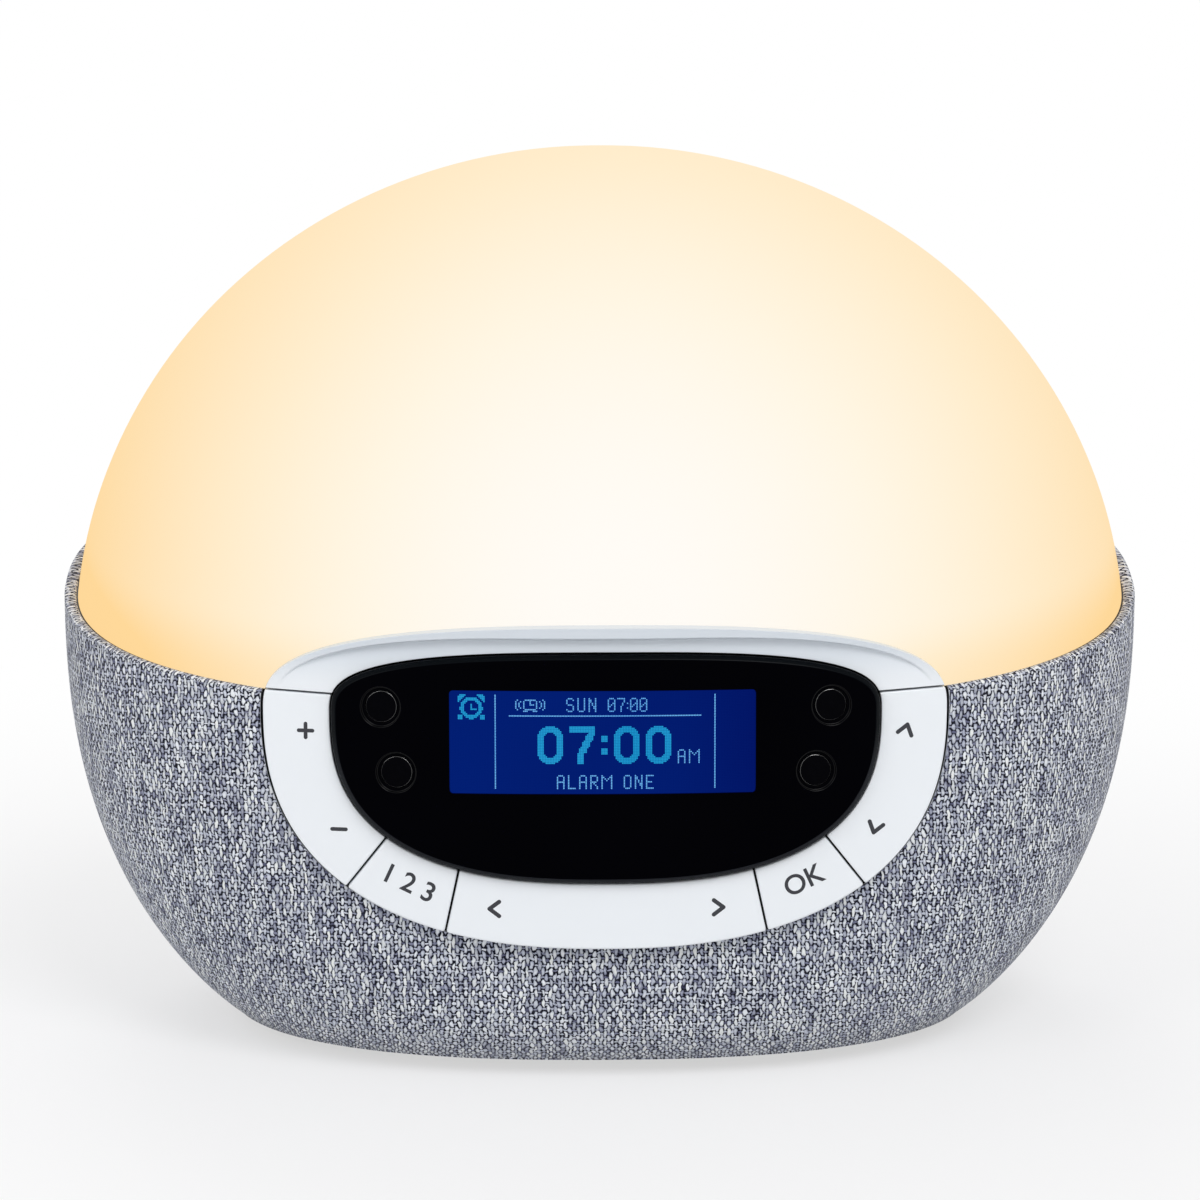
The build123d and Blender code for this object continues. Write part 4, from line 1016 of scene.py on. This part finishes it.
def visor_level(v, from_edge, from_window):
    """Height over the ring's front: a slope, with a hollow between the window and the lip."""
    climb = max(v - visor_foot, 0.0) / (egg_rise + ring["upper"] - visor_foot)
    slope = visor_rise * climb ** visor_swell
    share = min(max((lip_width + lip_step - from_edge) / (2 * lip_step), 0.0), 1.0)
    lip = share * share * (3 - 2 * share)
    cove = cove_floor + cove_edge * (1 - min(from_window, 1.0)) ** 2
    return slope * (cove + (1 - cove) * lip)


def make_visor():
    right = line_angles(visor_line, half_gap, visor_search)
    left = mirrored(right, over_top=True)

    def place(s, t):
        u, v = ring_place(right, left, s, t)
        edge = ring_place(right, left, s, 1.0)
        from_edge = math.hypot(edge[0] - u, edge[1] - v)
        return on_panel(u, v, visor_level(v, from_edge, t * cove_share))

    visor = sheet("visor_skin", visor_columns, visor_rows, place)
    thicken(visor, visor_back)
    soften(visor, visor_softness, segments=4)
    settle(visor, visor_finish(), "case", "white_key_plastic", "visor")


make_visor()

# %% [markdown]
# ## The black window
#
# The window is polished black acrylic with a chamfered rim. It is a fan of rings round its middle,
# laid on the barrel, with the chamfer as its outermost step. The display's opening and the four
# button dishes are cut with Boolean modifiers, as a milling machine would.

# %% Window finish
polished = Finish("polished_black", specular_ior_level=0.01, roughness=0.05)
faint = polished.noise(polished.place, 30.0, 2.0)
polished.wear(base_color=polished.blend(faint, srgb(0, 0, 2), srgb(2, 2, 5)))
satin_button = Finish("button_black", specular_ior_level=0.015, roughness=0.2)
faint = satin_button.noise(satin_button.place, 900.0, 2.0)
satin_button.wear(base_color=satin_button.blend(faint, srgb(1, 1, 3), srgb(4, 4, 7)))
satin_button.bump(faint, 0.2, 0.005)
# painted highlight: the buttons' rounded edges get a lighter black and a higher IOR than their tops,
# so that they show a thin ring of light
button_edge = moulded("button_edge", srgb(14, 14, 17), 0.12, grain=0.0, ior=2.1)
# painted highlight: the dishes' rounded rims get a lighter black and more specular than the window's
# face
dish_edge = moulded("dish_edge", srgb(6, 6, 8), 0.2, grain=0.0, specular_ior_level=0.12)

rim_clear = 60.0
rim_shaded = 71.0


def rim_finish():
    """The chamfer: a painted reflection of the pale floor makes it grey low down, painted shade black
    under the visor.
    """
    finish = Finish("window_rim", specular_ior_level=0.04, roughness=0.25)
    _, _, z = finish.split(finish.place)
    # painted light: a painted reflection low on the chamfer, painted shade above it
    shaded = z.step(rim_clear * MM, rim_shaded * MM) + finish.noise(finish.place, 40.0) * 0.1
    return finish.wear(base_color=finish.blend(shaded, srgb(31, 33, 37), srgb(3, 6, 10)))


window_rim = rim_finish()


def give_rims(piece, face_finish, edge_finish, outward, flattest=20, steepest=75):
    """Gives the slanting faces of a piece their own finish, and the rest another."""
    for finish in (face_finish, edge_finish):
        piece.data.materials.append(finish.material)
    for face in piece.data.polygons:
        tilt = math.degrees(face.normal.angle(outward))
        face.material_index = int(flattest < tilt < steepest)


# %% Window
window_proud = 2.0
window_back = -1.6
window_chamfer = 0.8
display_width = 56.4
display_height = 19.1
display_rise = 8.0
display_shift = -0.7
corner_radius = 0.6
display_gap = 0.1
upper_button = (41.4, 14.3)
lower_button = (38.6, 2.1)
button_radius = 3.0
dish_radius = 3.9
button_recess = 0.7
flange_level = -1.9
window_rings = 18
window_columns = 240
window_softness = 0.22
tool_reach = 12.0
dish_tool_sides = 96


def window_place(s, t):
    """s goes round the outline; t goes from the middle over the chamfer's edge to the side."""
    angle = 2 * math.pi * s
    step = round(t * window_rings)
    if step == window_rings:
        return on_panel(*outline_point(window, angle), window_proud - window_chamfer)
    u, v = outline_point(window, angle, window_chamfer)
    share = step / (window_rings - 1)
    return on_panel(u * share, egg_rise + (v - egg_rise) * share, window_proud)


def button_frame(u, v):
    """Where a round button's axis meets the ring's front, and the axis, pointing outwards."""
    lean = math.asin(u / barrel_radius)
    outward = panel_out * math.cos(lean) + Vector((1, 0, 0)) * math.sin(lean)
    return on_panel(u, v) / MM, outward


def stand(piece, u, v, lift=0.0):
    """Stands a piece on a button's axis: its z axis points outwards."""
    foot, outward = button_frame(u, v)
    turn = outward.to_track_quat("Z", "Y").to_matrix()
    lay(piece, lambda co: (foot + turn @ (co + Vector((0, 0, lift)))) * MM)


def round_bar(u, v, radius, low, high, sides=64, edge=0.0):
    """A cylinder along a button's axis, from one level to another, with a rounded outer edge."""
    bpy.ops.mesh.primitive_cylinder_add(vertices=sides, radius=radius, depth=high - low)
    piece = bpy.context.object
    if edge:
        points = piece.data.vertices
        round_edges(piece, lambda item: min(points[i].co.z for i in item.vertices) > 0, edge, 5)
    stand(piece, u, v, (low + high) / 2)
    return piece


def display_block(grow=0.0):
    """A block over the display's opening, for cutting."""
    bpy.ops.mesh.primitive_cube_add(size=2)
    piece = bpy.context.object

    def place(co):
        u = display_shift + co.x * (display_width / 2 + grow)
        v = display_rise + co.y * (display_height / 2 + grow)
        return (panel_origin + Vector((u, 0, 0)) + panel_up * v + panel_out * co.z * tool_reach) * MM

    lay(piece, place)
    round_corners(piece, panel_out, corner_radius + grow)
    tidy_mesh(piece)
    return piece


button_places = [(side * u, v) for side in (-1, 1) for u, v in (upper_button, lower_button)]

# %% [markdown]
# Each button lies in a shallow dish with a rounded rim. A dish is a turned shape, so its profile is
# drawn once, as a chain of points from the rim to the hole, and spun round the button's axis.

# %% Dish
dish_profile = (
    (3.92, -1.5), (3.92, 1.98), (3.86, 1.98), (3.79, 1.95), (3.74, 1.88), (3.71, 1.76), (3.69, 1.5),
    (3.65, 1.44), (3.55, 1.4), (3.24, 1.4), (3.13, 1.37), (3.08, 1.29), (3.06, 1.18), (3.06, -1.5),
)
dish_steps = 72


def turned_dish(u, v):
    bpy.ops.mesh.primitive_circle_add(vertices=len(dish_profile), radius=1)
    piece = bpy.context.object
    for vertex, (radius, level) in zip(piece.data.vertices, dish_profile):
        vertex.co = (radius, 0, level)
    with editing(piece):
        bpy.ops.mesh.spin(steps=dish_steps, angle=2 * math.pi, center=(0, 0, 0), axis=(0, 0, 1))
    stand(piece, u, v)
    tidy_mesh(piece)
    return piece


# %% Window plate
def make_window():
    plate = sheet("window_plate", window_columns, window_rings, window_place)
    merge(plate)
    thicken(plate, window_back)
    soften(plate, window_softness, degrees=25)
    tools = [display_block(display_gap)]
    tools += [
        round_bar(*place, dish_radius, -tool_reach, tool_reach, sides=dish_tool_sides)
        for place in button_places
    ]
    for tool in tools:
        cut(plate, tool)
        drop(tool)
    give_rims(plate, polished, window_rim, panel_out)
    dishes = [turned_dish(*place) for place in button_places]
    for dish, place in zip(dishes, button_places):
        give_rims(dish, polished, dish_edge, button_frame(*place)[1])
    plate = join([plate] + dishes)
    smooth(plate, 30)
    settle(plate, None, "case", "black_gloss", "display_window")


make_window()

# %% [markdown]
# The round buttons lie a little under the window's face. Each has a rounded edge that catches a thin
# ring of light, helped by a painted highlight: the edge is a lighter black with a higher IOR than the
# top. One function makes all four.

# %% Buttons
button_names = ("upper_left", "lower_left", "upper_right", "lower_right")

for place, where in zip(button_places, button_names):
    node = "button_" + where
    top = window_proud - button_recess
    button = round_bar(*place, button_radius, flange_level, top, edge=window_softness)
    button.name = "push_" + node
    smooth(button, 35)
    give_rims(button, satin_button, button_edge, button_frame(*place)[1])
    button = join([button, under_parts(node, flange_level - stem_clearance)])
    settle(button, None, node, "black_satin", node)

# %% [markdown]
# ## The dot display
#
# The display is a blue liquid crystal cell, lit from behind and made of square dots. Its glass is a
# curved plate just under the window's face. Lit dots are small square faces on it, so their grid
# shows in the large digits as it does on the real thing. Letters come from a five by nine font.

# %% Display finish
dots_across = 192
dot_pitch = display_width / dots_across
display_level = window_proud - 0.15
lens_back = -2.6
lens_rim = 1.9
lens_spare = 0.4
lens_step = 0.05
lens_columns = 48
lens_rows = 12


def display_finish():
    finish = Finish("blue_cell", roughness=0.1, specular_ior_level=0.01, emission_strength=1.0)
    x, _, z = finish.split(finish.place)
    glow = finish.noise(finish.place, 25.0, 1.0)
    dots_per_metre = 1 / (dot_pitch * MM)
    columns = ((x - display_shift * MM) * dots_per_metre).fract() - 0.5
    rows = (z * dots_per_metre).fract() - 0.5
    gaps = columns.size().most(rows.size()).step(0.38, 0.5)
    deep = finish.blend(glow - x * 9.0, srgb(0, 13, 94), srgb(0, 30, 116))
    finish.wear(
        emission_color=finish.blend(gaps * 0.12, deep, srgb(0, 60, 160)),
        base_color=srgb(0, 2, 10),
    )
    return finish


def lit_finish(name, dim, bright):
    finish = Finish(name, roughness=0.4, specular_ior_level=0.03, emission_strength=1.0)
    glow = finish.noise(finish.place, 60.0, 1.0)
    return finish.wear(base_color=srgb(0, 8, 16), emission_color=finish.blend(glow, dim, bright))


large_lit = lit_finish("lit_dots", srgb(10, 142, 200), srgb(46, 172, 226))
small_lit = lit_finish("lit_letters", srgb(84, 164, 238), srgb(128, 204, 255))


# %% Display glass
def display_plate(name, grow, front, back):
    """A curved plate over the display's opening, larger than it by grow on each side."""
    width = display_width + 2 * grow
    height = display_height + 2 * grow

    def place(s, t):
        return on_panel(display_shift + (s - 0.5) * width, display_rise + (t - 0.5) * height, front)

    plate = sheet(name, lens_columns, lens_rows, place)
    thicken(plate, back)
    return plate


def make_glass():
    front = display_plate("display_glass", lens_spare, display_level, lens_back)
    block = display_block()
    cut(front, block, "INTERSECT")
    drop(block)
    rim = display_plate("display_rim", lens_rim, window_back, lens_back + lens_step)
    glass = join([front, rim])
    smooth(glass, 30)
    settle(glass, display_finish(), "case", "display_blue", "display_lens")


make_glass()

# %% Dot font and icons
letters = {
    "A": "01110 10001 10001 10001 11111 10001 10001 10001 10001",
    "E": "11111 10000 10000 10000 11110 10000 10000 10000 11111",
    "L": "10000 10000 10000 10000 10000 10000 10000 10000 11111",
    "M": "1000001 1100011 1010101 1001001 1000001 1000001 1000001 1000001 1000001",
    "N": "10001 11001 11001 10101 10101 10011 10011 10001 10001",
    "O": "01110 10001 10001 10001 10001 10001 10001 10001 01110",
    "R": "11110 10001 10001 10001 11110 10100 10010 10001 10001",
    "S": "01110 10001 10000 10000 01110 00001 00001 10001 01110",
    "U": "10001 10001 10001 10001 10001 10001 10001 10001 01110",
    "0": "01110 10001 10001 10011 10101 11001 10001 10001 01110",
    "7": "11111 00001 00001 00010 00010 00100 00100 00100 00100",
    ":": "0 0 0 1 0 0 1 0 0",
    " ": "000",
}
tone_icon = (
    "0100001111111000010 1001010001000101001 1010010001000100101 1010010001110100101 "
    "1010010000000100101 1001010000000101001 0100001111111000010 0000011100011100000"
)


def stamp(pattern, left, top):
    """Lit dots of a pattern, whose rows are words of 0 and 1."""
    dots = set()
    for row, word in enumerate(pattern.split()):
        dots |= {(left + column, top + row) for column, mark in enumerate(word) if mark == "1"}
    return dots


def write(text, left, top, gap):
    """Lit dots of a line of small letters."""
    dots = set()
    for letter in text:
        dots |= stamp(letters[letter], left, top)
        left += len(letters[letter].split()[0]) + gap
    return dots


def drawn(width, height, left, top, lit):
    """Lit dots of a shape that is given by a rule for a column and a row."""
    places = product(range(width), range(height))
    return {(left + i, top + j) for i, j in places if lit(i, j)}


bell_size = (17, 16)
bell_middle = (8, 8.2)
bell_ring = (4.8, 6.9)


def in_bell_clock(i, j):
    """Whether a dot belongs to a round clock with two bells, two feet and two hands."""
    ring = bell_ring[0] < math.hypot(i - bell_middle[0], j - bell_middle[1]) < bell_ring[1]
    from_side = min(i, bell_size[0] - 1 - i)
    bell = 1 <= from_side + j <= 4
    foot = from_side < 3 and j > 12
    knob = from_side == 1 and j in (8, 9)
    hand = (i == 8 and 5 < j < 10) or (j == 9 and 8 < i < 12)
    return ring or bell or foot or knob or hand


digit_width = 16
digit_height = 24
digit_stroke = 4
digit_top = 22
leg_top = 11.5
leg_slant = 0.5
leg_foot = 5


def in_round_block(x, y, width, height):
    """Whether a point is inside an upright block with round ends."""
    reach = width / 2
    return math.hypot(x - reach, max(abs(y - height / 2) - (height / 2 - reach), 0.0)) <= reach


def in_zero(i, j):
    x, y = i + 0.5, j + 0.5
    hole_width, hole_height = digit_width - 2 * digit_stroke, digit_height - 2 * digit_stroke
    hole = in_round_block(x - digit_stroke, y - digit_stroke, hole_width, hole_height)
    return in_round_block(x, y, digit_width, digit_height) and not hole


def in_seven(i, j):
    """A bar on top, and a leg that slants inwards and then stands upright."""
    start = max(leg_foot, round(leg_top - (j - digit_stroke) * leg_slant))
    return j < digit_stroke or start <= i < start + digit_stroke + int(start > leg_foot)


def in_colon(i, j):
    return i < digit_stroke and (6 <= j < 10 or 14 <= j < 18)


def large_digit(lit, left):
    return drawn(digit_width, digit_height, left, digit_top, lit)


def line(columns, rows):
    return set(product(columns, rows))


# %% Dots on the glass
large_dots = drawn(*bell_size, 5, 2, in_bell_clock) | large_digit(in_colon, 95)
large_dots |= large_digit(in_zero, 55) | large_digit(in_seven, 75)
large_dots |= large_digit(in_zero, 103) | large_digit(in_zero, 123)
small_dots = stamp(tone_icon, 41, 5) | write("SUN", 73, 4, 2) | write("07:00", 99, 4, 1)
small_dots |= write("AM", 143, 37, 2) | write("ALARM ONE", 67, 53, 2)
small_dots |= line([28, 166], range(2, 62)) | line(range(37, 158), [15])
dot_share = 0.88
letter_share = 0.74
dot_lift = 0.02


def light_dots(name, dots, share, finish):
    """Square dots: the whole grid is laid out, the unlit ones go, and the lit ones shrink a little."""
    rows = math.floor(display_height / dot_pitch)
    top = display_rise + display_height / 2

    def place(s, t):
        u = display_shift + (s - 0.5) * dots_across * dot_pitch
        return on_panel(u, top - (1 - t) * rows * dot_pitch, display_level + dot_lift)

    def unlit(face):
        u, v, _ = off_panel(face.center)
        column = math.floor((u - display_shift) / dot_pitch + dots_across / 2)
        return (column, math.floor((top - v) / dot_pitch)) not in dots

    piece = sheet(name, dots_across, rows, place)
    with choosing(piece, "FACE", unlit):
        bpy.ops.mesh.delete(type="FACE")
        bpy.ops.mesh.select_all(action="SELECT")
        bpy.ops.mesh.inset(thickness=dot_pitch * (1 - share) / 2 * MM, use_individual=True)
        bpy.ops.mesh.select_all(action="INVERT")
        bpy.ops.mesh.delete(type="FACE")
    settle(piece, finish, "case", "display_blue")
    print(name, len(dots), "dots", len(piece.data.polygons), "faces")


light_dots("display_digits", large_dots, dot_share, large_lit)
light_dots("display_letters", small_dots, letter_share, small_lit)

# %% [markdown]
# ## Marks on the keys
#
# The marks are printed in dark grey ink. Signs and arrows are strokes with round ends, and the two
# push keys carry plain numbers and letters from Blender's own font. Each mark is laid on the cap's
# curve and rides on its key.

# %% Ink
ink = moulded("grey_ink", srgb(42, 43, 50), 0.6, grain=0.0, drift=0.1)
ink_level = 0.02
sign_stroke = 0.72
arrow_stroke = 0.78
stroke_sides = 24
letter_size = 5.2
letter_weight = 0.07


def stroke(start, end, width):
    """One stroke with round ends: a disc, whose two halves are pulled apart."""
    bpy.ops.mesh.primitive_circle_add(vertices=stroke_sides, radius=1, fill_type="NGON")
    piece = bpy.context.object
    along = math.atan2(end[1] - start[1], end[0] - start[0])

    def place(co):
        angle = math.atan2(co.y, co.x) + math.pi / stroke_sides
        u, v = end if math.cos(angle) > 0 else start
        angle += along
        return on_panel(u + width / 2 * math.cos(angle), v + width / 2 * math.sin(angle), ink_level)

    lay(piece, place)
    return piece


def turned(u, v, centre, degrees):
    """A point of a mark, turned about the mark's middle and put in place."""
    c = math.cos(math.radians(degrees))
    s = math.sin(math.radians(degrees))
    return centre[0] + c * u - s * v, centre[1] + s * u + c * v


def print_marks(name, body, marks):
    """Lays strokes on a key: each mark is a list of points, a middle and a turn."""
    strokes = []
    for points, centre, degrees in marks:
        placed = [turned(*point, centre, degrees) for point in points]
        width = arrow_stroke if len(points) > 2 else sign_stroke
        strokes += [stroke(start, end, width) for start, end in zip(placed, placed[1:])]
    piece = join(strokes)
    piece.name = name
    settle(piece, ink, body, "white_key_plastic")


def print_words(name, body, words, centre, degrees):
    """Lays a word on a key: text made a mesh, then placed point by point."""
    bpy.ops.object.text_add()
    text = bpy.context.object
    text.data.body = words
    text.data.size = letter_size
    text.data.align_x = text.data.align_y = "CENTER"
    text.data.offset = letter_weight
    only(text)
    bpy.ops.object.convert(target="MESH")
    piece = bpy.context.object
    piece.name = name
    lay(piece, lambda co: on_panel(*turned(co.x, co.y, centre, degrees), ink_level))
    settle(piece, ink, body, "white_key_plastic")


# %% Signs, arrows and numbers
half_sign = 1.28
bar = [(-half_sign, 0), (half_sign, 0)]
post = [(0, -half_sign), (0, half_sign)]
arrow = [(-1.35, -0.95), (0, 0.85), (1.35, -0.95)]

print_marks("brightness_marks", "brightness_rocker", [
    (bar, (-55.8, 9.2), 0), (post, (-55.8, 9.2), 0), (bar, (-49.7, -9.2), 0),
])
print_marks("volume_marks", "volume_rocker", [
    (arrow, (-20.9, -23.6), 90), (arrow, (20.9, -23.5), -90),
])
print_marks("navigation_marks", "navigation_rocker", [
    (arrow, (56.0, 9.0), -17), (arrow, (50.2, -9.5), 163),
])
print_words("preset_numbers", "preset_key", "1 2 3", (-36.8, -19.1), -25)
print_words("select_letters", "select_key", "OK", (36.8, -19.0), 25)

# %% [markdown]
# ## The rest of the clock
#
# The back panel, the base and the feet keep the frame's shapes. They are copied with their points
# merged, which lets curved faces shade smoothly. All the other nodes get a finish from their slot.

# %% Carried-over pieces
for node, name, slot in (
    ("rear_panel", "connector_panel", "grey_plastic"),
    ("base_plate", "underside", "grey_plastic"),
    ("feet", "rubber_feet", "foot_rubber"),
    ("inlet_jack", "supply_socket", "switch_black"),
):
    copy = node_copy(node, name)
    smooth(copy, 25)
    settle(copy, plain_finishes[slot], "case", slot, node)

slots = {row["node"]: row["material_slot"] for row in frame["record"]["subparts"]}
for node, piece in frame["nodes"].items():
    finish = plain_finishes.get(slots[node], plain_finishes["white_plastic"])
    piece.data.materials.clear()
    piece.data.materials.append(finish.material)

# %% [markdown]
# ## Floor, light and camera
#
# The clock stands on a pale floor under three large soft lamps. The floor and the world are white to
# the camera and in reflections, while the light that they throw on the clock stays at a plain level.


# %% Floor
def pale_floor():
    finish = Finish("pale_floor", roughness=0.7, specular_ior_level=0.2)
    tone = finish.noise(finish.place, 3.0, 2.0)
    finish.wear(base_color=finish.blend(tone, srgb(232, 232, 234), srgb(238, 238, 240)))
    white = finish.node("Emission", {"Color": (1, 1, 1, 1), "Strength": 1.0})
    x, y, _ = finish.split(finish.place)
    away = (x * x + y * y) ** 0.5
    lit = finish.seen() * (away.step(0.08, 0.35) * 0.4 + 0.6)
    mixed = finish.node("MixShader", {0: lit, 1: Wire(finish, finish.shader.outputs[0]), 2: white})
    finish.plug(finish.tree.nodes["Material Output"].inputs["Surface"], mixed)
    return finish


bpy.ops.mesh.primitive_plane_add(size=40)
floor = bpy.context.object
floor.name = "floor"
floor.data.materials.append(pale_floor().material)

# %% World
sky_light = 0.55
world = bpy.data.worlds.new("studio")
bpy.context.scene.world = world
sky = Tree(world)
background = sky.tree.nodes["Background"]
sky.plug(background.inputs["Color"], (1, 1, 1, 1))
sky.plug(background.inputs["Strength"], sky.seen() * (1 - sky_light) + sky_light)


# %% Lamps
def aim(looker, place, target):
    """Turns a lamp or a camera that stands at a place towards a target."""
    looker.rotation_euler = (target - Vector(place)).to_track_quat("-Z", "Y").to_euler()


def soft_lamp(name, place, power, size=0.9):
    bpy.ops.object.light_add(type="AREA", location=place)
    lamp = bpy.context.object
    lamp.name = name
    lamp.data.shape = "DISK"
    lamp.data.size = size
    lamp.data.energy = power
    aim(lamp, place, Vector((0, 0, 0.07)))


soft_lamp("key_lamp", (0.5, -1.1, 1.3), 12)
soft_lamp("fill_lamp", (-1.0, -0.9, 0.8), 4)
soft_lamp("back_lamp", (-0.2, 1.2, 1.1), 5)

# %% [markdown]
# The camera looks from nine hundred millimetres away and eleven and a half degrees above, a touch to
# the left of the middle. A long lens keeps the perspective mild.

# %% Camera
camera_place = Vector((-16.9, -879.4, 261.0)) * MM
camera_target = Vector((0, body_y, 81.6)) * MM
bpy.ops.object.camera_add(location=camera_place)
camera = bpy.context.object
camera.data.lens = 136.8
camera.data.sensor_width = 36
camera.data.clip_start = 0.01
aim(camera, camera_place, camera_target)
bpy.context.scene.camera = camera
bpy.context.scene.view_settings.view_transform = "Standard"
